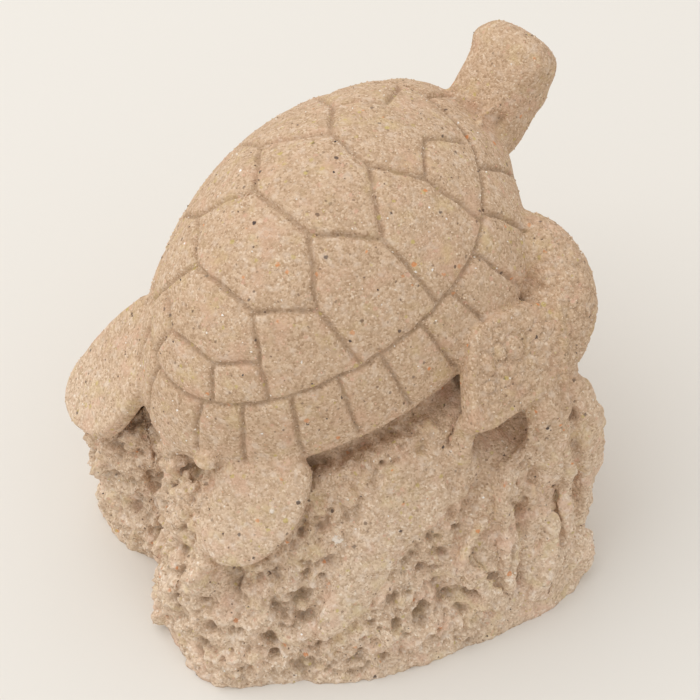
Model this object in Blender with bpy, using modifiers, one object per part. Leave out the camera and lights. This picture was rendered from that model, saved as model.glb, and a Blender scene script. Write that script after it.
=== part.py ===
"""Cast-sand sea turtle swimming over a block of reef rock, made as one solid.

Lengths are in millimetres while the forms are built and become metres at the end.
The turtle heads towards -Y, its left side is +X, and the table is the plane Z = 0.
"""

import math

import bmesh
import bpy
import numpy as np
from mathutils import Vector, kdtree, noise
from mathutils.bvhtree import BVHTree

NODE_NAME = "sand_turtle_sculpture"
MM = 0.001

# Skin: cell of the first fine skin, rounds of smoothing, and triangles kept before the flat cut
FINE_CELL = 0.5
SMOOTHING_ROUNDS = 3
TRIANGLE_TARGET = 11000
TABLE_SNAP = 0.03

# Shell: an egg-shaped dome, nose up, wider towards the head
SHELL_LENGTH = 64.8
SHELL_WIDTH = 49.1
SHELL_RISE = 22.2
SHELL_WIDEN = 0.152
SHELL_RIGHT_PINCH = (0.12, 0.85, 0.22)
SHELL_RIM_PINCH = (0.20, 0.95, 0.15)
SHELL_LEFT_SHOULDER = 0.05
SHELL_SHOULDER_BEARING = math.radians(22)
SHELL_SHOULDER_SPREAD = math.radians(16)
SHELL_FULLNESS = 0.717
SHELL_PITCH = math.radians(19.7)
SHELL_HEIGHT = 42.0
SHELL_TOP_REACHES = (0.03, 0.15, 0.3, 0.45, 0.6, 0.72, 0.8, 0.86, 0.91, 0.95, 0.975, 0.99, 0.998)
SHELL_RIM = (
    (1.0, -0.3), (0.998, -0.9), (0.985, -1.5), (0.95, -1.9), (0.88, -2.3), (0.75, -6.0), (0.03, -9.0),
)

# Plates of the shell: corners as shares of the half length and half width, seams between them
SEAM_CORNERS = {
    "V1 notch": (0.64, 0.155), "V1 ring": (0.765, 0.26), "V1 side": (0.49, 0.36),
    "C1 ring": (0.54, 0.64), "V2 front": (0.355, 0.155), "V2 side": (0.155, 0.495),
    "C2 ring": (0.146, 0.825), "V3 front": (-0.045, 0.23), "V3 side": (-0.245, 0.515),
    "C3 ring": (-0.262, 0.795), "V4 front": (-0.43, 0.26), "V4 side": (-0.553, 0.435),
    "C4 ring": (-0.624, 0.555), "V5 front": (-0.68, 0.20), "V5 ring": (-0.785, 0.28),
}
SEAM_LINES = (
    ("V1 ring", "V1 notch"), ("V1 notch", "V1 side"), ("V1 side", "C1 ring"), ("V1 side", "V2 front"),
    ("V2 front", "V2 side"), ("V2 side", "C2 ring"), ("V2 side", "V3 front"), ("V3 front", "V3 side"),
    ("V3 side", "C3 ring"), ("V3 side", "V4 front"), ("V4 front", "V4 side"), ("V4 side", "C4 ring"),
    ("V4 side", "V5 front"), ("V5 front", "V5 ring"),
)
SEAMS_ACROSS = ("V2 front", "V3 front", "V4 front", "V5 front")
RING_REACH = 0.837
MARGIN_BEARINGS = (9, 29.5, 46, 61, 75, 88, 102, 116, 131, 148, 165.5)
RIGHT_BEARING_UNCUT = 9
SEAM_DEPTH = 0.6
SEAM_HALF_WIDTH = 0.65
PLATE_EDGE_DROP = 0.15
PLATE_EDGE_WIDTH = 1.6

# Head: (distance ahead, half width, half height, raised) about its middle, then brows and cheeks
HEAD_CENTRE = Vector((1.15, -36.4, 57.7))
HEAD_AXIS = Vector((0.02, -0.66, 0.745)).normalized()
HEAD_STATIONS = (
    (-13.0, 4.8, 4.4, 0.0), (-9.0, 5.9, 5.2, 0.0), (-5.0, 6.1, 5.4, 0.0), (-1.0, 6.0, 5.5, 0.0),
    (2.5, 6.1, 5.1, 0.3), (4.5, 5.9, 4.3, 0.8), (5.6, 5.0, 3.3, 1.2), (6.2, 3.2, 2.1, 1.5),
    (6.4, 1.2, 0.9, 1.6),
)
HEAD_SQUARENESS = 2.7
BROW = (2.7, 4.9, 2.5)
BROW_SIZES = (1.7, 2.3, 1.9)
CHEEK = (-1.5, 3.9, -2.2)
CHEEK_SIZES = (2.2, 2.6, 2.6)
THROAT = (0.3, -22.0, 46.5)
THROAT_SIZES = (9.5, 8.5, 6.0)
ARMPIT = (-21.5, -17.0, 43.4)
ARMPIT_SIZES = (2.6, 3.0, 2.8)
TAIL = (-6.9, 29.2, 33.1)
TAIL_SIZES = (2.0, 1.9, 1.2)

# Flippers and ledge: place, direction faced and thickness, and outlines as (forward, up) on the plane
FRONT_RIGHT_SET = (Vector((-27.8, -6.0, 41.3)), Vector((-0.79, 0.05, 0.61)), 4.5)
FRONT_LEFT_SET = (Vector((26.2, -7.0, 34.5)), Vector((0.82, -0.05, 0.50)), 4.5)
HIND_RIGHT_SET = (Vector((-14.2, 27.2, 27.4)), Vector((-0.40, 0.70, 0.60)), 3.6)
HIND_LEFT_SET = (Vector((15.9, 27.5, 29.1)), Vector((0.40, 0.70, 0.60)), 3.4)
LEDGE_SET = (Vector((-27.3, 12.3, 20.7)), Vector((-0.80, 0.42, 0.42)), 4.6)
BLADE_CENTRE_RING = 0.25
BLADE_EDGE_POWER = 10
FRONT_BLADE = (
    (15.0, 1.5), (12.6, 4.0), (8.2, 6.3), (3.4, 7.2), (-0.6, 7.6), (-3.2, 6.2), (-4.9, 3.2), (-6.5, -0.5),
    (-8.0, -4.6), (-6.9, -6.1), (-3.0, -6.3), (2.0, -6.2), (6.5, -5.0), (10.4, -2.6), (13.6, -1.4),
)
HIND_RIGHT_BLADE = (
    (-6.1, 7.5), (-5.9, 1.5), (-6.3, -2.5), (-6.3, -6.4), (-4.5, -8.8), (-1.5, -9.0), (1.5, -7.8),
    (4.2, -4.9), (6.2, -1.2), (7.0, 3.0), (6.4, 7.5), (0.0, 9.5),
)
HIND_LEFT_BLADE = (
    (-4.4, 13.0), (-6.6, 8.5), (-7.6, 3.0), (-7.7, -3.0), (-7.0, -7.9), (-4.0, -10.4), (0.4, -9.9),
    (4.5, -7.5), (7.5, -4.5), (8.5, 0.5), (7.0, 7.0), (2.5, 12.5),
)
LEDGE = (
    (2.0, 12.0), (5.8, 11.1), (7.6, 6.5), (6.8, 2.0), (3.5, 0.4), (0.6, -1.6), (-2.4, -5.4), (-5.2, -8.9),
    (-9.0, -12.6), (-13.2, -13.8), (-12.6, -9.0), (-9.6, -3.5), (-6.2, 2.5), (-2.4, 8.5),
)

# Limbs: (x, y, z, half width, half height) along the spine
FRONT_RIGHT_ARM = (
    (-12.0, -19.0, 47.0, 4.5, 4.5), (-19.0, -22.4, 45.6, 5.0, 5.2), (-25.2, -20.8, 41.8, 5.2, 5.6),
    (-27.8, -16.0, 37.5, 4.5, 5.6), (-28.0, -10.0, 34.0, 3.5, 5.0),
)
FRONT_LEFT_ARM = (
    (12.0, -19.0, 45.0, 4.5, 4.5), (18.5, -21.8, 42.5, 5.0, 5.2), (23.8, -20.5, 38.5, 5.2, 5.6),
    (26.2, -15.5, 33.5, 4.5, 5.6), (26.2, -9.0, 29.0, 3.5, 5.0),
)

# Places blended more, elbow, head and lowest corner of the right front blade: middle, reach, rounds
BLENDED_PLACES = (
    (Vector((-29.0, -16.2, 44.0)), 6.0, 30),
    (HEAD_CENTRE, 9.5, 8),
    (Vector((-30.2, 2.2, 37.2)), 3.2, 12),
)

# Rock block: a skirt from under the rim to the foot, with lobes as (bearing, spread, extra radius)
ROCK_CENTRE = (-6.0, 3.0)
ROCK_BASE_RADIUS = 33.3
ROCK_BELOW_TABLE = 3.0
ROCK_INNER = (0.78, 0.5)
ROCK_SHOULDER = (0.86, -2.4)
ROCK_NECK = (0.90, -3.2)
ROCK_LEVELS = (0.08, 0.18, 0.3, 0.45, 0.6, 0.75, 0.88, 1.0)
ROCK_SPREAD_POWER = 0.62
BASE_LOBES = (
    (106.0, 15.0, 5.2),
    (160.0, 14.0, -0.9),
    (204.0, 18.0, 5.3),
    (45.0, 14.0, 4.0),
    (74.0, 7.0, -5.0),
    (285.0, 25.0, -1.0),
)

# Swellings and ribs that stand out of the block
TAIL_RIB = (
    (0.4, 28.1, 33.0, 2.6, 3.0), (-0.1, 28.4, 25.0, 2.7, 3.0), (-1.4, 29.7, 17.0, 2.9, 3.2),
    (-3.5, 32.2, 10.0, 3.2, 3.5), (-5.5, 34.6, 1.0, 3.8, 3.9),
)
TAIL_BANK = (
    (-7.4, 25.5, 28.0, 3.0, 3.0), (-8.6, 29.0, 23.0, 3.4, 3.4), (-9.6, 31.8, 17.0, 3.4, 3.4),
    (-10.8, 34.0, 9.0, 3.6, 3.6), (-11.6, 35.2, 1.0, 3.6, 3.6),
)
TAIL_WALL = (
    (-5.8, 28.2, 26.2, 3.6, 3.0), (-5.6, 30.5, 21.0, 3.6, 3.4), (-6.2, 32.6, 15.0, 3.8, 3.6),
    (-7.5, 34.2, 8.0, 3.8, 3.6), (-8.5, 35.0, 1.0, 3.6, 3.6),
)
FAR_LOBE = (11.9, 27.7, 17.8)
FAR_LOBE_SIZES = (7.4, 5.9, 7.8)
FRONT_LOBE = (-37.0, -12.0, 3.0)
FRONT_LOBE_SIZES = (4.7, 5.1, 5.5)
CORAL_BUTTRESS = (
    (-29.0, -15.6, 37.0, 2.6, 2.6), (-32.4, -16.0, 30.0, 3.5, 3.5), (-33.5, -16.4, 25.0, 4.3, 4.3),
    (-33.9, -16.2, 20.0, 4.2, 4.2), (-33.8, -14.5, 10.0, 4.0, 4.0), (-33.0, -13.0, 0.0, 4.0, 4.0),
)
CORAL_RIBS = (
    ((-30.2, -10.4, 30.0, 1.3, 1.5), (-32.2, -6.3, 27.5, 1.4, 1.6), (-32.9, -2.7, 25.2, 1.4, 1.6),
     (-34.3, -1.5, 21.6, 1.3, 1.5), (-35.4, -1.2, 17.9, 1.3, 1.5), (-36.8, -0.4, 14.0, 1.2, 1.4),
     (-38.4, 1.0, 7.6, 1.0, 1.1)),
    ((-33.9, 1.3, 20.2, 0.9, 1.0), (-33.5, 3.8, 18.7, 0.9, 1.0), (-33.9, 5.8, 17.0, 1.0, 1.1),
     (-35.3, 6.0, 13.4, 1.0, 1.2), (-36.8, 5.3, 9.6, 1.1, 1.2), (-38.5, 3.2, 5.6, 1.0, 1.0)),
    ((-36.3, -7.0, 17.0, 1.2, 1.4), (-37.3, -7.4, 14.0, 2.0, 2.3), (-38.9, -6.4, 9.0, 2.2, 2.4),
     (-40.1, -2.6, 4.0, 1.0, 1.1)),
    ((-30.6, -14.4, 39.4, 1.2, 1.4), (-31.8, -14.1, 36.2, 1.3, 1.5), (-33.2, -13.4, 32.6, 1.2, 1.5),
     (-35.0, -12.7, 25.2, 1.2, 1.5), (-36.6, -12.2, 18.0, 1.3, 1.6), (-38.2, -11.0, 10.5, 1.4, 1.6),
     (-39.6, -9.2, 4.0, 1.2, 1.3)),
    ((-28.9, 0.8, 37.0, 1.9, 1.9), (-28.5, 1.2, 33.5, 1.6, 1.6), (-28.8, 1.9, 29.5, 1.5, 1.5),
     (-29.4, 3.0, 25.8, 1.3, 1.3), (-30.0, 4.5, 22.5, 1.2, 1.2), (-30.6, 6.8, 19.5, 0.8, 0.8)),
)
CORAL_BED = (
    (-29.2, -5.0, 27.0, 5.0, 2.6), (-31.8, -4.4, 20.5, 6.5, 3.0), (-33.8, -3.4, 13.5, 7.5, 3.0),
    (-35.8, -2.4, 6.5, 7.5, 3.0), (-36.6, -2.0, 0.0, 7.0, 3.0),
)
CORAL_WEB = (
    (-30.0, -10.8, 38.0, 3.8, 2.6), (-31.6, -10.6, 33.8, 3.8, 2.6), (-32.6, -10.3, 29.5, 3.3, 2.5),
    (-33.6, -9.7, 24.5, 2.6, 2.3), (-34.8, -9.2, 19.5, 1.8, 1.8),
)
CORAL_BOSS = (-35.0, -5.6, 19.8)
CORAL_BOSS_SIZES = (1.5, 1.5, 3.2)
FAR_BANK = (
    (20.0, -10.0, 33.0, 5.0, 6.0), (22.5, -7.5, 24.0, 6.5, 8.0), (23.5, -5.0, 14.0, 6.5, 9.0),
    (24.0, -3.0, 4.0, 6.0, 9.0), (24.0, -3.0, -1.5, 6.0, 9.0),
)
# Ribs of the hidden sides: (bearing, height) along each, and one row of sizes for all
FAR_RIBS = (
    ((-8.0, 30.0), (-4.0, 22.0), (-9.0, 14.0), (-3.0, 5.0)),
    ((18.0, 26.0), (13.0, 18.0), (20.0, 10.0), (16.0, 3.0)),
    ((-48.0, 34.0), (-44.0, 26.0), (-50.0, 16.0), (-45.0, 6.0)),
    ((-96.0, 38.0), (-101.0, 28.0), (-94.0, 18.0), (-99.0, 6.0)),
    ((-122.0, 34.0), (-126.0, 24.0), (-119.0, 14.0), (-124.0, 5.0)),
)
FAR_RIB_SIZES = (1.3, 2.0, 2.2, 1.2)
FAR_RIB_SUNK = 0.2
FAR_RIB_FLATNESS = 1.3

# Hollows of the block: from one point to another, half width and depth
HOLLOWS = (
    ((-16.0, 32.5, 15.0), (-19.5, 31.0, 16.5), 2.6, 2.6),
    ((-3.2, 30.2, 29.6), (-4.6, 30.4, 29.0), 1.6, 1.6),
    ((-29.8, -3.4, 28.2), (-32.2, 3.0, 22.5), 1.8, 1.9),
    ((-32.2, 3.0, 22.5), (-33.4, 6.8, 17.6), 1.2, 1.9),
    ((-30.1, 3.4, 28.6), (-31.8, 6.0, 22.2), 0.9, 1.5),
    ((-29.2, -1.5, 31.5), (-30.5, -6.0, 31.0), 2.2, 3.4),
    ((-33.6, -7.6, 23.8), (-35.6, -4.0, 18.3), 0.9, 1.3),
    ((-35.6, -4.0, 18.3), (-38.4, -0.6, 6.6), 0.8, 1.1),
    ((-31.5, 11.5, 15.5), (-34.5, 8.5, 10.0), 2.6, 1.6),
    ((-31.5, 18.0, 8.5), (-33.5, 14.0, 9.5), 2.2, 1.0),
    ((-34.6, -14.4, 30.5), (-37.6, -13.9, 14.0), 1.1, 2.4),
    ((-37.6, -9.4, 15.0), (-39.6, -8.0, 6.0), 0.8, 1.0),
)
UNDERCUT_BEARINGS = (222.0, 286.0)
UNDERCUT_REACH = 0.985
UNDERCUT_LIFT = -3.6
UNDERCUT_HALF_WIDTH = 1.5
UNDERCUT_DEPTH = 1.4
UNDERCUT_STEPS = 12

# Roughness of the block: wave length and height, fading out near the table
ROCK_WAVES = ((7.0, 0.9), (3.0, 0.6))
ROCK_SWELL = 0.25
ROCK_CALM_HEIGHT = 5.0
CALM_AT_TABLE = 0.25

# How far from the animal's forms the roughness starts and takes to be whole, and the reach of the seams
SMOOTH_MARGIN = 0.4
ROUGH_MARGIN = 0.8
SHELL_SKIN = 0.5
HOLLOW_LEAST = 0.15

# Colour of the sand, a wet-cast pale tan
SAND_COLOUR = (0.57, 0.42, 0.29, 1.0)
SAND_ROUGHNESS = 0.92


def half_width_at(t):
    """Half width of the shell's full outline, by the share of the way from its middle to the head end."""
    return SHELL_WIDTH / 2 * (1 + SHELL_WIDEN * t)


def shell_point(along, across, lift):
    """Place from shell coordinates: along to the head, across to the left, lift out of the back."""
    return Vector((
        across,
        -along * math.cos(SHELL_PITCH) + lift * math.sin(SHELL_PITCH),
        SHELL_HEIGHT + along * math.sin(SHELL_PITCH) + lift * math.cos(SHELL_PITCH),
    ))


def pinch_at(t, pinch):
    """Share by which the right side is pinched in: most of it at a place, less with distance."""
    most, place, spread = pinch
    return most * math.exp(-((t - place) / spread) ** 2)


def rim_point(reach, bearing, lift):
    """Point of the shell at a share of its outline's reach, a bearing from the head and a lift."""
    t = reach * math.cos(bearing)
    s = reach * math.sin(bearing)
    if s < 0:
        beyond_ring = max(0.0, reach - RING_REACH) / (1 - RING_REACH)
        s *= 1 - pinch_at(t, SHELL_RIGHT_PINCH) - pinch_at(t, SHELL_RIM_PINCH) * beyond_ring
    elif t > 0:
        turn = (bearing % (2 * math.pi) - SHELL_SHOULDER_BEARING) / SHELL_SHOULDER_SPREAD
        shoulder = 1 + SHELL_LEFT_SHOULDER * math.exp(-turn * turn)
        t *= shoulder
        s *= shoulder
    return shell_point(t * SHELL_LENGTH / 2, s * half_width_at(t), lift)


def dome_lift(reach):
    """Height of the back above the rim plane at a share of the outline's reach."""
    return SHELL_RISE * max(0.0, 1 - reach * reach) ** SHELL_FULLNESS


def dome_point(t, s):
    """Point of the back by its shares of the half length and of the half width."""
    reach = math.hypot(t, s)
    return rim_point(reach, math.atan2(s, t), dome_lift(reach))


def curve_between(before, start, end, after, share):
    """Smooth value between two stations, steered by the ones on either side."""
    return 0.5 * (
        2 * start
        + (end - before) * share
        + (2 * before - 5 * start + 4 * end - after) * share * share
        + (3 * start - before - 3 * end + after) * share ** 3
    )


def closed_curve(corners, count):
    """Evenly counted points on a smooth closed curve through the corners."""
    points = []
    total = len(corners)
    for i in range(count):
        place = i * total / count
        k = int(place)
        around = [Vector(corners[(k + d) % total]) for d in (-1, 0, 1, 2)]
        points.append(curve_between(*around, place - k))
    return points


def open_curve(stations, count):
    """Smooth rows of numbers between the stations, both ends kept."""
    rows = []
    last = len(stations) - 1
    for i in range(count):
        place = i * last / (count - 1)
        k = min(int(place), last - 1)
        around = [stations[min(max(k + d, 0), last)] for d in (-1, 0, 1, 2)]
        rows.append([curve_between(*values, place - k) for values in zip(*around)])
    return rows


def loft(name, rings):
    """Closed mesh through rings of equal length, each end closed by a face."""
    mesh = bpy.data.meshes.new(name)
    bm = bmesh.new()
    rows = [[bm.verts.new(p) for p in ring] for ring in rings]
    count = len(rows[0])
    for low, high in zip(rows, rows[1:]):
        for i in range(count):
            j = (i + 1) % count
            bm.faces.new((low[i], low[j], high[j], high[i]))
    bm.faces.new(list(reversed(rows[0])))
    bm.faces.new(rows[-1])
    bmesh.ops.recalc_face_normals(bm, faces=bm.faces)
    bm.to_mesh(mesh)
    bm.free()
    return mesh


def rounded_section(centre, side, up, half_width, half_height, squareness, count=24):
    """Ring of a rounded box section."""
    ring = []
    for i in range(count):
        angle = 2 * math.pi * i / count
        c, s = math.cos(angle), math.sin(angle)
        x = math.copysign(abs(c) ** (2 / squareness), c) * half_width
        y = math.copysign(abs(s) ** (2 / squareness), s) * half_height
        ring.append(centre + side * x + up * y)
    return ring


def tube(name, stations, count):
    """Limb or rib of round section along a smooth spine."""
    rows = open_curve(stations, count)
    rings = []
    for i, row in enumerate(rows):
        here = Vector(row[:3])
        ahead = Vector(rows[min(i + 1, count - 1)][:3]) - Vector(rows[max(i - 1, 0)][:3])
        ahead.normalize()
        side = ahead.cross(Vector((0, 0, 1))).normalized()
        up = side.cross(ahead).normalized()
        rings.append(rounded_section(here, side, up, row[3], row[4], 2.0, 16))
    return loft(name, rings)


def slab(name, corners, origin, face, thickness):
    """Flat flipper: an outline of (forward, up) corners on a tilted plane, with rounded edges."""
    face = face.normalized()
    forward = Vector((0, 0, 1)).cross(face).normalized()
    up = face.cross(forward).normalized()
    outline = closed_curve(corners, 56)
    middle = sum(outline, Vector((0, 0))) / len(outline)
    rings = []
    for i in range(11):
        height = math.cos(math.pi * i / 10)
        scale = BLADE_CENTRE_RING if i in (0, 10) else math.sqrt(1 - abs(height) ** BLADE_EDGE_POWER)
        ring = []
        for p in outline:
            q = middle + (p - middle) * scale
            ring.append(origin + forward * q.x + up * q.y + face * (height * thickness / 2))
        rings.append(ring)
    return loft(name, rings)


def mirrored(corners):
    """The same outline for the other side."""
    return [(-x, y) for x, y in reversed(corners)]


def lump(name, centre, sizes):
    """Rounded boulder."""
    mesh = bpy.data.meshes.new(name)
    bm = bmesh.new()
    bmesh.ops.create_icosphere(bm, subdivisions=3, radius=1.0)
    for v in bm.verts:
        v.co = Vector((v.co.x * sizes[0], v.co.y * sizes[1], v.co.z * sizes[2])) + Vector(centre)
    bm.to_mesh(mesh)
    bm.free()
    return mesh


def shell_form():
    """The domed back, its thin rim and the underside tucked into the rock."""
    profile = [(reach, dome_lift(reach)) for reach in SHELL_TOP_REACHES] + list(SHELL_RIM)
    bearings = [2 * math.pi * i / 90 for i in range(90)]
    return loft("shell", [[rim_point(reach, b, lift) for b in bearings] for reach, lift in profile])


def head_directions():
    """Right, up and ahead of the head."""
    right = HEAD_AXIS.cross(Vector((0, 0, 1))).normalized()
    return right, right.cross(HEAD_AXIS).normalized(), HEAD_AXIS


def head_place(ahead_mm, right_mm, up_mm):
    """Point in the head's own directions, from its middle."""
    right, up, ahead = head_directions()
    return HEAD_CENTRE + ahead * ahead_mm + right * right_mm + up * up_mm


def head_forms():
    """Neck and blunt head, with brows and cheeks, lifted and turned a little to the left."""
    right, up, _ = head_directions()
    rings = []
    for distance, half_width, half_height, raised in open_curve(HEAD_STATIONS, 28):
        centre = head_place(distance, 0.0, raised)
        rings.append(rounded_section(centre, right, up, half_width, half_height, HEAD_SQUARENESS))
    forms = [loft("head", rings)]
    for hand in (1, -1):
        forms.append(lump("brow", head_place(BROW[0], hand * BROW[1], BROW[2]), BROW_SIZES))
        forms.append(lump("cheek", head_place(CHEEK[0], hand * CHEEK[1], CHEEK[2]), CHEEK_SIZES))
    return forms


def body_forms():
    """Forms of the animal, and the smooth ledge of the block."""
    return head_forms() + [
        shell_form(),
        slab("front right blade", FRONT_BLADE, *FRONT_RIGHT_SET),
        tube("front right arm", FRONT_RIGHT_ARM, 18),
        slab("hind right blade", HIND_RIGHT_BLADE, *HIND_RIGHT_SET),
        slab("hind left blade", HIND_LEFT_BLADE, *HIND_LEFT_SET),
        slab("front left blade", mirrored(FRONT_BLADE), *FRONT_LEFT_SET),
        tube("front left arm", FRONT_LEFT_ARM, 18),
        lump("throat", THROAT, THROAT_SIZES),
        lump("armpit", ARMPIT, ARMPIT_SIZES),
        lump("tail", TAIL, TAIL_SIZES),
        slab("ledge", LEDGE, *LEDGE_SET),
    ]


def base_radius(bearing):
    """Radius of the rock's foot at a bearing in degrees counted from +X towards +Y."""
    radius = ROCK_BASE_RADIUS
    for centre, spread, extra in BASE_LOBES:
        gap = (bearing - centre + 180) % 360 - 180
        radius += extra * math.exp(-(gap / spread) ** 2)
    return radius


def rock_form():
    """The block: a skirt that spreads from under the rim to the foot."""
    columns = []
    for i in range(96):
        bearing = 2 * math.pi * i / 96
        neck = rim_point(ROCK_NECK[0], bearing, ROCK_NECK[1])
        angle = math.atan2(neck.y - ROCK_CENTRE[1], neck.x - ROCK_CENTRE[0])
        radius = base_radius(math.degrees(angle))
        foot = Vector((*ROCK_CENTRE, 0)) + radius * Vector((math.cos(angle), math.sin(angle), 0))
        column = [rim_point(ROCK_INNER[0], bearing, ROCK_INNER[1])]
        column.append(rim_point(ROCK_SHOULDER[0], bearing, ROCK_SHOULDER[1]))
        column.append(neck)
        for level in ROCK_LEVELS:
            place = neck.lerp(foot, level ** ROCK_SPREAD_POWER)
            place.z = neck.z * (1 - level)
            column.append(place)
        column.append(foot - Vector((0, 0, ROCK_BELOW_TABLE)))
        columns.append(column)
    return loft("rock", [list(ring) for ring in zip(*columns)])


def form_tree(forms):
    """Search tree over the faces of some forms."""
    bm = bmesh.new()
    for mesh in forms:
        bm.from_mesh(mesh)
    tree = BVHTree.FromBMesh(bm)
    bm.free()
    return tree


def wall_point(tree, bearing, height, sunk):
    """Point just inside the skirt of the rock at a bearing in degrees and a height."""
    ahead = Vector((math.cos(math.radians(bearing)), math.sin(math.radians(bearing)), 0))
    start = Vector((ROCK_CENTRE[0], ROCK_CENTRE[1], height)) + ahead * 90
    return tree.ray_cast(start, -ahead)[0] - ahead * sunk


def rock_forms():
    """Forms of the reef block: the skirt, its swellings and the coral ribs."""
    forms = [rock_form()]
    tree = form_tree(forms)
    for rib in FAR_RIBS:
        stations = []
        for (bearing, height), size in zip(rib, FAR_RIB_SIZES):
            stations.append((*wall_point(tree, bearing, height, FAR_RIB_SUNK), size, size * FAR_RIB_FLATNESS))
        forms.append(tube("far rib", stations, 24))
    for rib in CORAL_RIBS:
        forms.append(tube("coral rib", rib, 28))
    forms.append(tube("coral bed", CORAL_BED, 18))
    forms.append(tube("coral web", CORAL_WEB, 18))
    forms.append(tube("far bank", FAR_BANK, 18))
    forms.append(tube("tail rib", TAIL_RIB, 14))
    forms.append(tube("tail wall", TAIL_WALL, 14))
    forms.append(tube("tail bank", TAIL_BANK, 14))
    forms.append(tube("coral buttress", CORAL_BUTTRESS, 18))
    forms.append(lump("coral boss", CORAL_BOSS, CORAL_BOSS_SIZES))
    forms.append(lump("far lobe", FAR_LOBE, FAR_LOBE_SIZES))
    forms.append(lump("front lobe", FRONT_LOBE, FRONT_LOBE_SIZES))
    return forms


def run_together(forms, cell):
    """Make one skin round all the closed forms."""
    bm = bmesh.new()
    for mesh in forms:
        bm.from_mesh(mesh)
    joined = bpy.data.meshes.new("joined")
    bm.to_mesh(joined)
    bm.free()
    thing = bpy.data.objects.new("joined", joined)
    bpy.context.scene.collection.objects.link(thing)
    remesh = thing.modifiers.new("run together", "REMESH")
    remesh.mode = "VOXEL"
    remesh.voxel_size = cell
    remesh.use_smooth_shade = False
    mesh = bpy.data.meshes.new_from_object(thing.evaluated_get(bpy.context.evaluated_depsgraph_get()))
    bpy.data.objects.remove(thing)
    return mesh


def relax(bm, verts, rounds):
    """Draw each vertex halfway to the middle of its neighbours, a number of times."""
    for _ in range(rounds):
        bmesh.ops.smooth_vert(
            bm, verts=verts, factor=0.5, use_axis_x=True, use_axis_y=True, use_axis_z=True)


def soften(skin):
    """Relax the stair steps of the new skin, and blend some places more."""
    bm = bmesh.new()
    bm.from_mesh(skin)
    for middle, reach, rounds in BLENDED_PLACES:
        relax(bm, [v for v in bm.verts if (v.co - middle).length < reach], rounds)
    relax(bm, bm.verts, SMOOTHING_ROUNDS)
    bm.to_mesh(skin)
    bm.free()


def seam_tree():
    """Search tree of closely spaced points along every seam between the plates."""
    lines = []
    for hand in (1, -1):
        for start, end in SEAM_LINES:
            (t0, s0), (t1, s1) = SEAM_CORNERS[start], SEAM_CORNERS[end]
            lines.append(((t0, hand * s0), (t1, hand * s1)))
        for bearing in MARGIN_BEARINGS:
            if hand < 0 and bearing == RIGHT_BEARING_UNCUT:
                continue
            c, s = math.cos(math.radians(bearing)), hand * math.sin(math.radians(bearing))
            lines.append(((RING_REACH * c, RING_REACH * s), (c, s)))
    for corner in SEAMS_ACROSS:
        t, s = SEAM_CORNERS[corner]
        lines.append(((t, s), (t, -s)))
    points = []
    for (t0, s0), (t1, s1) in lines:
        for i in range(33):
            points.append(dome_point(t0 + (t1 - t0) * i / 32, s0 + (s1 - s0) * i / 32))
    for i in range(480):
        bearing = 2 * math.pi * i / 480
        points.append(rim_point(RING_REACH, bearing, dome_lift(RING_REACH)))
    tree = kdtree.KDTree(len(points))
    for number, place in enumerate(points):
        tree.insert(place, number)
    tree.balance()
    return tree


def hollow_list():
    """All hollows of the block, with the undercut below the rim on the right side."""
    cuts = list(HOLLOWS)
    first, last = UNDERCUT_BEARINGS
    for i in range(UNDERCUT_STEPS):
        ends = []
        for k in (i, i + 1):
            bearing = math.radians(first + (last - first) * k / UNDERCUT_STEPS)
            ends.append(rim_point(UNDERCUT_REACH, bearing, UNDERCUT_LIFT))
        cuts.append((ends[0], ends[1], UNDERCUT_HALF_WIDTH, UNDERCUT_DEPTH))
    return cuts


def carve(skin):
    """Cut the seams, the hollows and the reef's roughness by moving the skin along its own normals."""
    count = len(skin.vertices)
    places = np.empty(count * 3)
    skin.vertices.foreach_get("co", places)
    places = places.reshape(-1, 3)
    normals = np.empty(count * 3)
    skin.vertex_normals.foreach_get("vector", normals)
    normals = normals.reshape(-1, 3)
    depth = np.zeros(count)
    rocky = np.zeros(count)
    body_tree = form_tree(body_forms())
    dome_tree = form_tree([shell_form()])
    seams = seam_tree()
    for i in range(count):
        here = Vector(places[i])
        rocky[i] = min(1.0, max(0.0, (body_tree.find_nearest(here)[3] - SMOOTH_MARGIN) / ROUGH_MARGIN))
        if dome_tree.find_nearest(here)[3] < SHELL_SKIN and normals[i][2] > -0.5:
            gap = seams.find(here)[2]
            depth[i] += SEAM_DEPTH * math.exp(-(gap / SEAM_HALF_WIDTH) ** 2)
            depth[i] += PLATE_EDGE_DROP * math.exp(-(gap / PLATE_EDGE_WIDTH) ** 2)
        elif rocky[i] > 0:
            rough = -ROCK_SWELL
            for length, height in ROCK_WAVES:
                rough += height * noise.noise(here / length)
            calm = min(1.0, CALM_AT_TABLE + max(0.0, here.z) / ROCK_CALM_HEIGHT)
            depth[i] += rough * rocky[i] * calm
    for start, end, half_width, deep in hollow_list():
        a, b = np.array(start), np.array(end)
        run = b - a
        share = np.clip(((places - a) @ run) / (run @ run), 0, 1)
        gap = np.linalg.norm(places - (a + share[:, None] * run), axis=1)
        depth += deep * np.exp(-(gap / half_width) ** 2) * np.clip(rocky + HOLLOW_LEAST, 0, 1)
    places -= normals * depth[:, None]
    skin.vertices.foreach_set("co", places.reshape(-1))
    skin.update()


def thin_out(skin, triangles):
    """Collapse the skin to about a number of triangles."""
    thing = bpy.data.objects.new("dense", skin)
    bpy.context.scene.collection.objects.link(thing)
    thin = thing.modifiers.new("thin out", "DECIMATE")
    thin.decimate_type = "COLLAPSE"
    thin.ratio = triangles / sum(len(face.vertices) - 2 for face in skin.polygons)
    thin.use_collapse_triangulate = True
    mesh = bpy.data.meshes.new_from_object(thing.evaluated_get(bpy.context.evaluated_depsgraph_get()))
    bpy.data.objects.remove(thing)
    return mesh


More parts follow.
